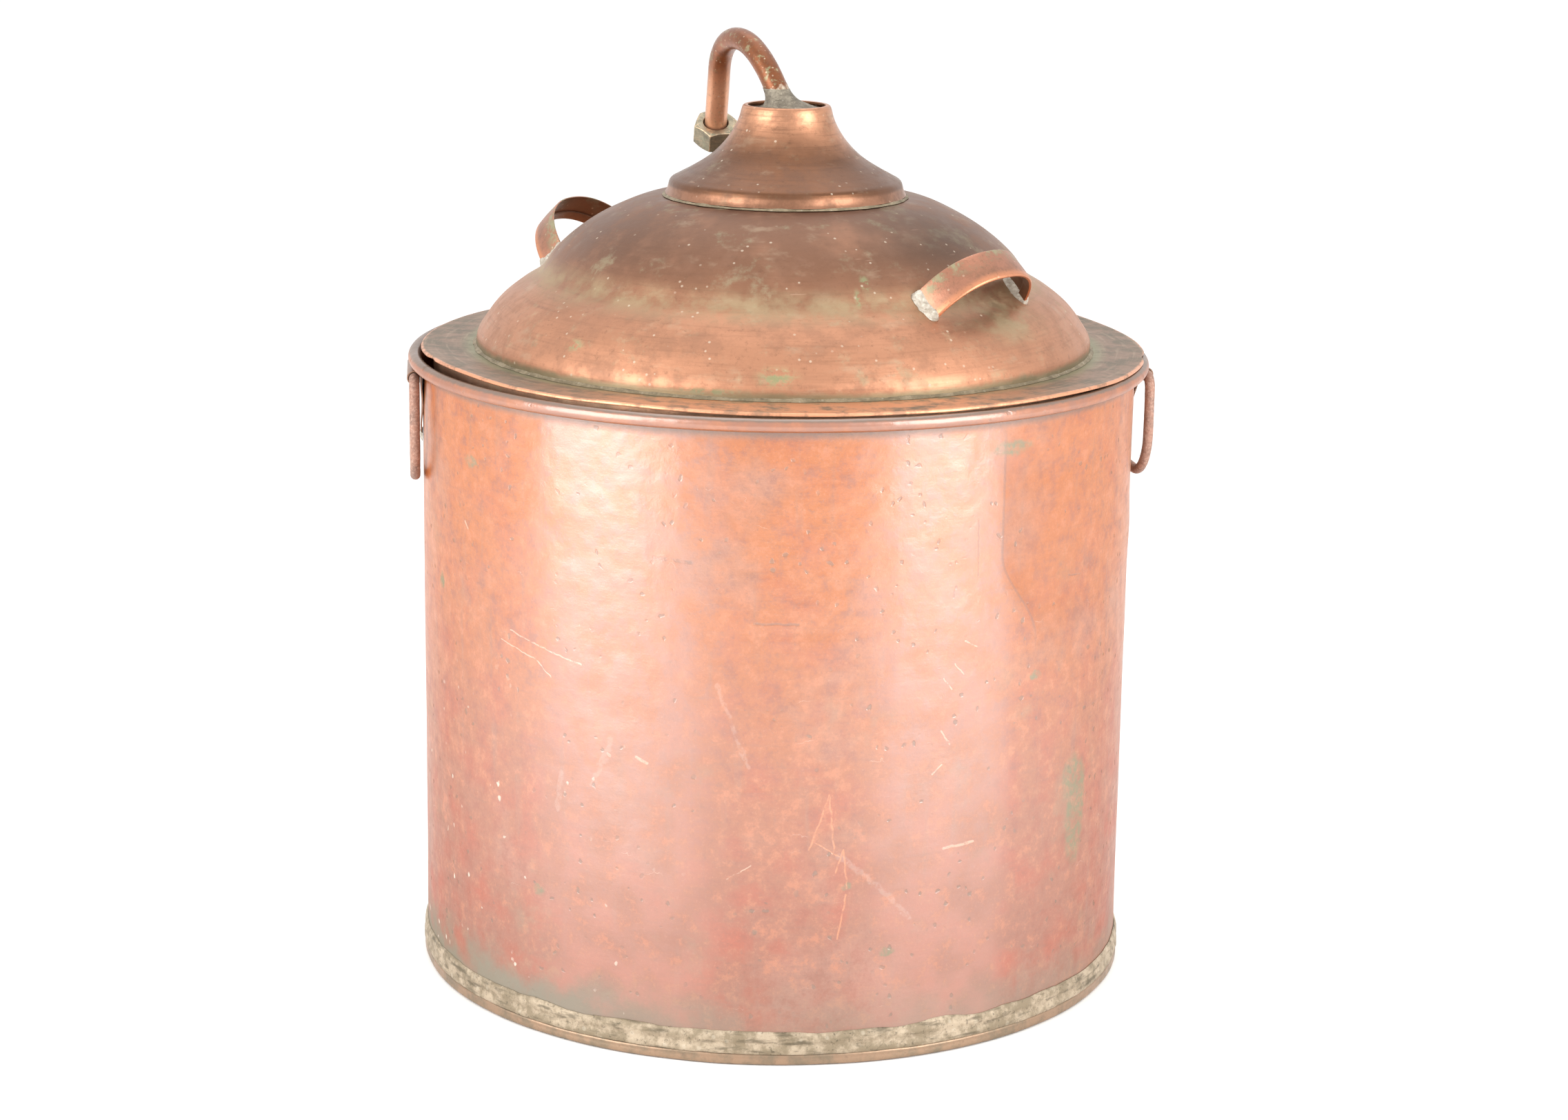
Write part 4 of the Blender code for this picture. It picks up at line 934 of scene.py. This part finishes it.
def make_skirt():
    top = 395.3 * MM
    r = 220.6 * MM
    line = smooth_line([(r, 0.3700), (r, 0.3720), (r, 0.3930), (r - 0.3 * MM, top - 0.5 * MM),
                        (r - 1.5 * MM, top), (r - 6.0 * MM, top)], 0.0015)
    grid, _ = turned_grid(both_sides(line, SHEET), 300, HEAD_X)
    grid = push(grid, soft_noise(grid, 0.05, 2) * 0.3 * MM - 0.3 * MM, 0.0, HEAD_X)
    return skin("skirt_sheet", grid, SKIRT, "still_head", ["lid_skirt"], along=True,
                sharp=50)


def head_dents(grid, amount, seed):
    return (soft_noise(grid, 0.070, seed) * 0.7 + soft_noise(grid, 0.030, seed + 4) * 0.35) * amount


def make_dome():
    line = smooth_line(np.array(DOME_POINTS) * MM, 0.0024)
    grid, angle = turned_grid(both_sides(line, 1.0 * MM), 360, HEAD_X)
    moved = head_dents(grid, 0.7 * MM, 41)
    for a, h, size, deep in ((18, 430, 22, 1.0), (-48, 425, 26, 0.9), (-5, 462, 20, 0.8),
                             (70, 455, 26, 1.0),
                             (-110, 430, 30, 1.4), (150, 440, 30, 1.2)):
        away = np.sqrt((np.radians(angle - a) * 165 / size) ** 2
                       + ((grid[..., 2] * 1000 - h) / (size * 0.7)) ** 2)
        moved = moved - deep * MM * smooth_step(away, 1.0, 0.0)
    moved *= smooth_step(grid[..., 2], 0.3975, 0.412) * smooth_step(grid[..., 2], 0.4920, 0.4860)
    grid = push(grid, moved * 0.75, moved * 0.55, HEAD_X)
    return skin("dome_sheet", grid, DOME, "still_head", ["dome"], along=True, sharp=60)


def make_neck():
    line = smooth_line(np.array(NECK_POINTS) * MM, 0.0012)
    grid, _ = turned_grid(both_sides(line, 1.2 * MM), 240, HEAD_X)
    moved = head_dents(grid, 0.22 * MM, 71) * smooth_step(grid[..., 2], 0.500, 0.506)
    grid = push(grid, moved, 0.0, HEAD_X)
    return skin("neck_sheet", grid, NECK, "still_head", ["neck_cone"], along=True,
                sharp=60)


def make_joint_ring(name, node, radius, z, width, height, seed):
    """Solder run round a joint, uneven in width."""
    profile = smooth_line([(radius, z + height), (radius + width * 0.2, z + height * 0.72),
                           (radius + width * 0.5, z + height * 0.34), (radius + width, z),
                           (radius + width * 0.5, z - 0.02 * MM), (radius, z)], 0.0004)
    grid, _ = turned_grid(profile[:-1], 420, HEAD_X)
    ring = grid * np.array([1, 1, 0])
    grow = 0.30 * rough_noise(ring, 0.012, seed, 3)
    share_up = np.clip((grid[..., 2] - z) / height, 0, 1)
    share_out = np.clip((np.hypot(grid[..., 0] - HEAD_X, grid[..., 1]) - radius) / width, 0, 1)
    grid = push(grid, grow * width * share_out, grow * height * share_up, HEAD_X)
    return skin(name, grid, GREEN_BAND, "still_head", [node], along=True, sharp=60)


def pipe_run():
    """Centre line of the swan neck, and the outward side of the bend at each point."""
    lean, azimuth, roll = radians(PIPE_LEAN), radians(PIPE_AZIMUTH), radians(PIPE_ROLL)
    run = Vector((sin(lean) * cos(azimuth), sin(lean) * sin(azimuth), cos(lean)))
    toward = Vector((cos(azimuth) * cos(lean), sin(azimuth) * cos(lean), -sin(lean)))
    bend = toward * cos(roll) + run.cross(toward) * sin(roll)
    at = PIPE_FOOT + Vector((HEAD_X, 0, 0))
    path = [at - run * PIPE_ROOT * MM * k for k in (1.0, 0.75, 0.5, 0.25, 0.0)]
    outer = [-bend] * 5
    for radius, angle, steps in PIPE_BENDS:
        centre = at + bend * radius
        for k in range(1, steps + 1):
            a = radians(angle) * k / steps
            path.append(centre - bend * radius * cos(a) + run * radius * sin(a))
            outer.append(-(bend * cos(a) - run * sin(a)))
        a = radians(angle)
        at = path[-1].copy()
        run, bend = run * cos(a) + bend * sin(a), bend * cos(a) - run * sin(a)
    for k in range(1, 41):
        path.append(at + run * PIPE_TAIL * MM * k / 40)
        outer.append(-bend)
    return np.array(path), np.array(outer), np.array(run)


def make_pipe():
    path, outer, _ = pipe_run()
    _, a, b = carried(path)
    turn = np.linspace(0, 2 * pi, 36, endpoint=False)
    around = a[:, None] * np.cos(turn)[None, :, None] + b[:, None] * np.sin(turn)[None, :, None]
    facing = np.einsum("ijk,ik->ij", around, outer)
    length = np.concatenate([[0], np.cumsum(np.linalg.norm(np.diff(path, axis=0), axis=1))])
    bent = smooth_step(length, 0.02, 0.05) * smooth_step(length, 0.150, 0.120)
    # the bend flattens the tube a little on its outside and pushes it out at the sides
    radius = PIPE_R * (1 - 0.045 * bent[:, None] * facing ** 2)
    skin_out = path[:, None] + around * radius[..., None]
    skin_out = skin_out + around * (rough_noise(skin_out, 0.009, 3, 3) * 0.07 * MM)[..., None]
    ragged = smooth_step(length[:, None] + 0.004 * rough_noise(skin_out, 0.010, 9, 3), 0.0225, 0.0200)
    skin_out = skin_out + around * (ragged * 0.18 * MM)[..., None]
    skin_in = path[:, None] + around * PIPE_IN_R
    grid = np.concatenate([skin_out, skin_in[::-1]])
    far = np.concatenate([facing * 0.5 + 0.5, 0 * facing])
    along = np.concatenate([length[:, None] + 0 * facing, length[::-1, None] + 0 * facing])
    return skin("swan_neck_tube", grid, PIPE, "still_head", ["swan_neck"], along=True,
                sharp=60,
                fields={"run": along, "outer": far})


def pipe_cut(z):
    """Centre and direction of the pipe where it passes a height near its foot."""
    path, _, _ = pipe_run()
    k = int(np.argmax(path[:, 2] > z))
    run = (path[k] - path[k - 1]) / np.linalg.norm(path[k] - path[k - 1])
    return path[k - 1] + run * ((z - path[k - 1][2]) / run[2]), run


def round_pipe(z, clearance, count):
    centre, run = pipe_cut(z)
    lean = np.array([run[0], run[1], 0.0])
    lean /= np.linalg.norm(lean)
    aside = np.array([-lean[1], lean[0], 0.0])
    turn = np.linspace(0, 2 * pi, count, endpoint=False)
    spoke = np.stack([np.cos(turn), np.sin(turn), 0 * turn], 1)
    r = PIPE_R + clearance
    return centre + (spoke @ lean)[:, None] * lean * r / run[2] + (spoke @ aside)[:, None] * aside * r


def make_cap():
    z = 544.0 * MM
    turn = np.linspace(0, 2 * pi, 120, endpoint=False)
    rows = []
    for share in np.linspace(0, 1, 12):
        rim = np.stack([HEAD_X + 26.4 * MM * np.cos(turn), 26.4 * MM * np.sin(turn),
                        np.full(120, z + 0.9 * MM)], 1)
        hole = round_pipe(z + 0.9 * MM, 0.5 * MM, 120)
        rows.append(rim * (1 - share) + hole * share)
    upper = np.array(rows)
    upper[..., 2] += soft_noise(upper, 0.012, 3) * 0.25 * MM
    lower = upper[::-1] - np.array([0, 0, 0.9 * MM])
    grid = np.concatenate([upper, lower])
    return skin("cap_disc", grid, MOUND, "still_head", ["cap_plate"], along=True, sharp=60)


def make_mound():
    """Rough solder heaped on the cap, out to the rim on the right, and drawn up the pipe."""
    turn = np.linspace(0, 2 * pi, 150, endpoint=False)
    spoke = np.stack([np.cos(turn), np.sin(turn), 0 * turn], 1)
    base_z = 545.2 * MM
    # how far it spreads: to the rim at the right and front, short of it at the left
    wide = (18.0 + 4.8 * smooth_step(np.cos(turn - radians(-25)), -0.5, 0.7)
            + 1.3 * soft_noise(spoke, 0.45, 5)) * MM
    rows = []
    for share in np.linspace(0, 1, 30):
        z = base_z + 12.5 * MM * share ** 1.15
        inside = round_pipe(z, 0.05 * MM, 150)
        middle = inside.mean(0)
        foot = np.array([HEAD_X, 0, z]) + spoke * wide[:, None]
        least = middle + (inside - middle) * (1.05 + 0.22 * (1 - share))
        blend = (1 - share) ** 2.6
        ring = foot * blend + least * (1 - blend)
        short = np.linalg.norm(ring - middle, axis=1) < np.linalg.norm(least - middle, axis=1)
        ring[short] = least[short]
        lump = rough_noise(ring, 0.0075, 33,
                           4) * 0.95 * MM * (0.25 + 0.75 * (1 - share)) * smooth_step(share, 0.0, 0.12)
        out = ring - middle
        out /= np.maximum(np.linalg.norm(out, axis=1, keepdims=True), 1e-9)
        ring = ring + out * lump[:, None] * 0.6
        ring[:, 2] = z + lump * 0.8 * smooth_step(share, 0.0, 0.2) * (1 - share)
        rows.append(ring)
    inner = [round_pipe(base_z + 12.5 * MM * share ** 1.15, 0.02 * MM, 150) for share in np.linspace(1, 0,
                                                                                                     8)]
    grid = np.concatenate([np.array(rows), np.array(inner)])
    flat = np.linalg.norm((grid - np.array([HEAD_X, 0, 0]))[..., :2], axis=2)
    limit = 24.0 * MM
    grid[..., :2] = np.where((flat > limit)[..., None],
                             np.array([HEAD_X, 0]) + (grid[..., :2] - np.array([HEAD_X, 0]))
                             * (limit / np.maximum(flat, 1e-9))[..., None],
                             grid[..., :2])
    return skin("cap_solder_mound", grid, MOUND, "still_head", ["cap_solder"], along=True,
                sharp=70)


# ---------------------------------------------------------------- nut and ferrule
NUT_FLATS, NUT_HEIGHT, NUT_TURN = 25.4 * MM, 15.0 * MM, 12.0     # the turn in degrees


def nut_place():
    """Matrix of the nut: its local Z points back up the pipe and z = 0 is its open end."""
    path, _, run = pipe_run()
    reach = NUT_HEIGHT - 3.6 * MM - 4.6 * MM - 0.3 * MM
    end, run = Vector(path[-1]), Vector(run)
    return Matrix.Translation(end + run * reach) @ (-run).to_track_quat("Z", "Y").to_matrix().to_4x4()


def make_nut():
    turn = np.linspace(0, 2 * pi, 240, endpoint=False)
    flat = NUT_FLATS / 2
    from_flat = (np.degrees(turn) - NUT_TURN) % 60 - 30
    hexagon = flat / np.cos(np.radians(from_flat))
    rows, edge = [], []

    def row(radius, z, worn):
        rows.append(np.stack([radius * np.cos(turn), radius * np.sin(turn), z + 0 * turn], 1))
        edge.append(worn + 0 * turn)

    corner = flat / cos(radians(30))
    for z in np.concatenate([np.linspace(0.0, 1.2, 7), np.linspace(1.8, 9.0, 10),
                             np.linspace(9.4, 15.0, 26)]) * MM:
        cone_low = flat * 0.985 + (z + 0.05 * MM) / tan(radians(30))
        cone_top = flat * 0.965 + (NUT_HEIGHT - z) / tan(radians(28))
        cone = np.minimum(cone_low, cone_top)
        sharpness = 0.25 * MM
        soft = -sharpness * np.log(np.exp(-(hexagon - flat) / sharpness)
                                   + np.exp(-(cone - flat) / sharpness)) + flat
        worn = np.clip(1 - np.abs(hexagon - cone) / (0.9 * MM), 0,
                       1) + np.clip((hexagon / corner - 0.965) / 0.035, 0, 1)
        row(np.minimum(soft, corner - 0.1 * MM), z, np.clip(worn, 0, 1))
    for radius, z, worn in ((12.0, 15.0, 0.7), (11.6, 15.05, 0.2), (10.4, 15.0, 0.0), (9.0, 15.0, 0.1),
                            (8.5, 14.9, 0.6),
                            (8.25, 14.6, 0.3), (8.2, 13.5, 0.0), (8.2, 11.6, 0.0), (8.6, 11.4, 0.0),
                            (10.2, 11.4, 0.0)):
        row(np.full(240, radius * MM), z * MM, worn)
    pitch = 1.35 * MM
    for z in np.linspace(11.2, 0.9, 56) * MM:
        wave = np.abs(((z / pitch + turn / (2 * pi)) % 1.0) * 2 - 1)
        row(10.4 * MM - 0.55 * MM * smooth_step(wave, 0.15, 0.85), z, 0.3 * wave)
    for radius, z in ((10.6, 0.6), (10.9, 0.25), (11.2, 0.0)):
        row(np.full(240, radius * MM), z * MM, 0.4)
    grid = np.array(rows)
    grid = grid + np.concatenate([grid[..., :2], 0 * grid[..., :1]],
                                 -1) * (soft_noise(grid, 0.004, 2) * 0.006)[..., None]
    place = np.array(nut_place())
    grid = grid @ place[:3, :3].T + place[:3, 3]
    return skin("union_nut_brass", grid, NUT, "union_nut", ["union_nut"], along=True, sharp=35,
                fields={"edge": np.array(edge)})


def make_ferrule():
    path, _, run = pipe_run()
    end = path[-1]
    profile = smooth_line([(7.45, 0.0), (9.3, 0.0), (9.75, 0.35), (9.75, 3.2), (9.3, 4.1), (8.5, 4.55),
                           (7.45, 4.6)], 0.25) * MM
    bore = np.array([(7.42, 3.0), (7.42, 1.5)]) * MM
    profile = np.concatenate([profile, bore])
    _, a, b = carried(np.array([end - run * 0.004, end]))
    turn = np.linspace(0, 2 * pi, 90, endpoint=False)
    spoke = a[1] * np.cos(turn)[:, None] + b[1] * np.sin(turn)[:, None]
    grid = np.array([end - run * z + spoke * r for r, z in profile])
    grid = roughen(grid, 0.02 * MM, 0.003, 3, True)
    return skin("ferrule_ring", grid, NUT, "still_head", ["pipe_ferrule"], along=True, sharp=40,
                fields={"edge": np.zeros(grid.shape[:2])})


# ---------------------------------------------------------------- strap handles
def strap_frame(azimuth, radius, height, slope):
    """Middle of a strap on the dome, and its directions along, outwards and across."""
    out, along = basis(azimuth)
    up = np.array([0.0, 0.0, 1.0])
    s = radians(slope)
    normal, across = out * sin(s) + up * cos(s), out * cos(s) - up * sin(s)
    return out * radius * MM + up * height * MM + np.array([HEAD_X, 0, 0]), along, normal, across


def strap_line(chord, rise, foot, count):
    """The strap's arch, from foot to foot, as distance along and height."""
    low = (1 - (foot / rise) ** (1 / 0.6)) ** (1 / 2.2)
    s = low * np.sin(np.linspace(-pi / 2, pi / 2, count))
    return np.stack([s * chord / 2, rise * np.maximum(1 - np.abs(s) ** 2.2, 0) ** 0.6], 1) * MM


def arc_points(cx, cy, r, first, last, count):
    a = np.radians(np.linspace(first, last, count))
    return [(cx + r * cos(v), cy + r * sin(v)) for v in a]


def make_strap(name, azimuth, radius, height, chord, rise, slope, width, foot):
    middle, along, normal, across = strap_frame(azimuth, radius, height, slope)
    half, t, hem = width / 2, 1.1, 7.0
    # section: w across, d inwards; the fold is a round edge at +half, the hem lies inside
    section = [(w, 0.0) for w in np.linspace(-half + 0.5, half - 1.1, 14)]
    section += arc_points(half - 1.15, 1.15, 1.15, -90, 90, 9)
    section += [(w, 2.3) for w in np.linspace(half - 2.2, half - hem + 0.4, 5)]
    section += arc_points(half - hem + 0.35, 1.85, 0.45, 90, 180, 4) + [(half - hem - 0.1, 1.25)]
    section += [(w, t) for w in np.linspace(half - hem - 0.8, -half + 0.5, 8)]
    section += arc_points(-half + 0.55, 0.55, 0.55, 90, 270, 7)[1:-1]
    section = np.array(section) * MM
    line = strap_line(chord, rise, foot, 110)
    run = np.gradient(line, axis=0)
    run /= np.linalg.norm(run, axis=1, keepdims=True)
    run[0], run[-1] = (0, 1), (0, -1)
    inward = np.stack([run[:, 1], -run[:, 0]], 1)
    # the sheet bows a little across its width and its edges wander
    bow = 0.5 * MM * (1 - (section[:, 0] / (half * MM)) ** 2)
    spot = line[:, None] + inward[:, None] * (section[None, :, 1] - bow[None, :] * 0.8)[..., None]
    share = np.linspace(-1, 1, len(line))
    wander = (0.35 * MM * np.sin(share * 5 + 1)[:, None] + section[None, :, 0])
    grid = (middle + along * spot[..., :1] + normal * spot[..., 1:2] + across * wander[..., None])
    grid = grid + normal * (soft_noise(grid, 0.014, 7) * 0.18 * MM)[..., None]
    where = np.clip((section[:, 0] / MM + half) / width, 0, 1)
    inside = (section[:, 1] > 0.8 * MM) & (section[:, 0] < (half - 0.6) * MM)
    flat = np.ones((len(line), 1))
    return skin(name + "_strap_sheet", grid, STRAP, "still_head", [name + "_strap"],
                caps=True,
                sharp=55, fields={"across": flat * where[None, :], "inside": flat * inside[None, :]})


DOME_LINE = smooth_line(np.array(DOME_POINTS) * MM, 0.0024)


def dome_height(reach):
    order = np.argsort(DOME_LINE[:, 0])
    return np.interp(reach, DOME_LINE[order, 0], DOME_LINE[order, 1])


def drop_to_dome(points, normal):
    for _ in range(12):
        reach = np.hypot(points[..., 0] - HEAD_X, points[..., 1])
        points = points + normal * ((dome_height(reach) - points[..., 2]) * normal[2])[..., None]
    return points


def make_strap_foot(name, side, strap):
    """Solder drawn up round one end of the strap from the dome."""
    _, azimuth, radius, height, chord, rise, slope, width, foot = strap
    middle, along, normal, across = strap_frame(azimuth, radius, height, slope)
    end = strap_line(chord, rise, foot, 3)[-1]
    x0 = (end[0] - 0.55 * MM) * side
    rows = []
    w_share = np.linspace(-1, 1, 40)
    for w in w_share:
        reach = (width / 2 + 1.0) * MM
        fade = max(1 - abs(w) ** 6, 0.0) ** 0.5
        spread = (1.0 + 2.4 * fade + 0.7
                  * float(soft_noise(np.array([w * 2.0, side * 3.1, radius]), 0.5, 3))) * MM
        tall = (0.5 + (foot + 0.2) * fade + 0.6
                * float(soft_noise(np.array([w * 3.0, side, radius]), 0.6, 8))) * MM
        row = []
        for a in np.linspace(0, 2 * pi, 30, endpoint=False):
            across_run = cos(a) * spread * (1 if sin(a) < 0 else 0.45 + 0.55 * (1 - sin(a)) ** 1.5)
            base = drop_to_dome((middle + along * (x0 + across_run) + across * w * reach)[None], normal)[0]
            row.append(base + normal * (max(sin(a), 0.0) ** 0.8 * tall + 0.12 * MM))
        rows.append(row)
    grid = roughen(np.array(rows), 0.28 * MM, 0.004, 13 + int(radius))
    return skin(name + "_lump", grid, WHITE, "still_head", [name], caps=True, sharp=70)


# ---------------------------------------------------------------- assemble
make_wall()
make_pan()
make_foot_solder()
make_seam()
for ring in RINGS:
    make_ring(*ring)
    make_clip(*ring)
    make_clip_solder(*ring[:2])
make_flange()
make_skirt()
make_dome()
make_neck()
make_joint_ring("dome_joint_solder", "dome_base_solder", 193.7 * MM, 396.8 * MM, 2.0 * MM, 1.6 * MM, 51)
make_joint_ring("neck_joint_solder", "neck_solder", 75.7 * MM, 491.2 * MM, 1.6 * MM, 1.1 * MM, 57)
make_cap()
make_mound()
make_pipe()
make_ferrule()
make_nut()
for strap in STRAPS:
    make_strap(*strap)
    for place, sign in (("front", 1 if strap[0] == "left" else -1),
                        ("rear", -1 if strap[0] == "left" else 1)):
        make_strap_foot(strap[0] + "_strap_solder_" + place, sign, strap)

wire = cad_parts["rim_wire"]
wire.data.materials.clear()
wire.data.materials.append(IRON)


# ---------------------------------------------------------------- floor, light and camera
def make_floor():
    f = Finish("pale_floor")
    f.set(Base_Color=f.mix(f.scaled(f.noise(0.5), 0.0, 0.2), (0.96, 0.96, 0.955), (0.93, 0.93, 0.925)),
          Roughness=0.75)
    half = 9.0
    mesh = bpy.data.meshes.new("floor")
    mesh.from_pydata([(-half, -half, 0), (half, -half, 0), (half, half, 0), (-half, half, 0)], [],
                     [(0, 1, 2, 3)])
    mesh.materials.append(f.material)
    floor = bpy.data.objects.new("floor", mesh)
    floor.location.z = -0.0002
    bpy.context.scene.collection.objects.link(floor)


def softbox(name, azimuth, distance, height, width, tall, watts, target_z=0.25):
    """A rectangular lamp aimed at the still; azimuth is the front angle."""
    data = bpy.data.lights.new(name, "AREA")
    data.shape = "RECTANGLE"
    data.size, data.size_y = width, tall
    data.energy = watts
    lamp = bpy.data.objects.new(name, data)
    lamp.visible_camera = False
    a = radians(azimuth)
    lamp.location = (distance * sin(a), -distance * cos(a), height)
    lamp.rotation_euler = (Vector((0, 0, target_z)) - lamp.location).to_track_quat("-Z", "Y").to_euler()
    bpy.context.scene.collection.objects.link(lamp)


CAMERA_AT = (0.0, -2.11351, 0.77032)
CAMERA_LENS = 77.58     # millimetres, on a 36 mm wide sensor


def make_camera():
    pitch, yaw, roll = 0.238978, 0.0024713, -0.0146053
    forward = Vector((sin(yaw) * cos(pitch), cos(yaw) * cos(pitch), -sin(pitch)))
    right = Vector((cos(yaw), -sin(yaw), 0.0))
    down = forward.cross(right)
    x_axis, y_axis = right * cos(roll) + down * sin(roll), right * sin(roll) - down * cos(roll)
    data = bpy.data.cameras.new("camera")
    data.sensor_width, data.lens = 36.0, CAMERA_LENS
    data.clip_start, data.clip_end = 0.05, 60.0
    camera = bpy.data.objects.new("camera", data)
    camera.matrix_world = Matrix.Translation(CAMERA_AT) @ Matrix(
        (x_axis, y_axis, -forward)).transposed().to_4x4()
    bpy.context.scene.collection.objects.link(camera)
    bpy.context.scene.camera = camera


make_floor()
world = bpy.data.worlds.new("studio")
world.use_nodes = True
world.node_tree.nodes["Background"].inputs["Color"].default_value = (1.0, 1.0, 0.995, 1.0)
world.node_tree.nodes["Background"].inputs["Strength"].default_value = 1.1
bpy.context.scene.world = world
softbox("lamp_left", -54.0, 1.7, 0.75, 1.25, 1.5, 25.0)
softbox("lamp_right", 50.0, 1.7, 0.80, 1.0, 1.5, 23.0)
softbox("lamp_top", 180.0, 0.6, 2.2, 1.6, 1.6, 9.0)
bpy.context.scene.view_settings.view_transform = "Standard"
make_camera()
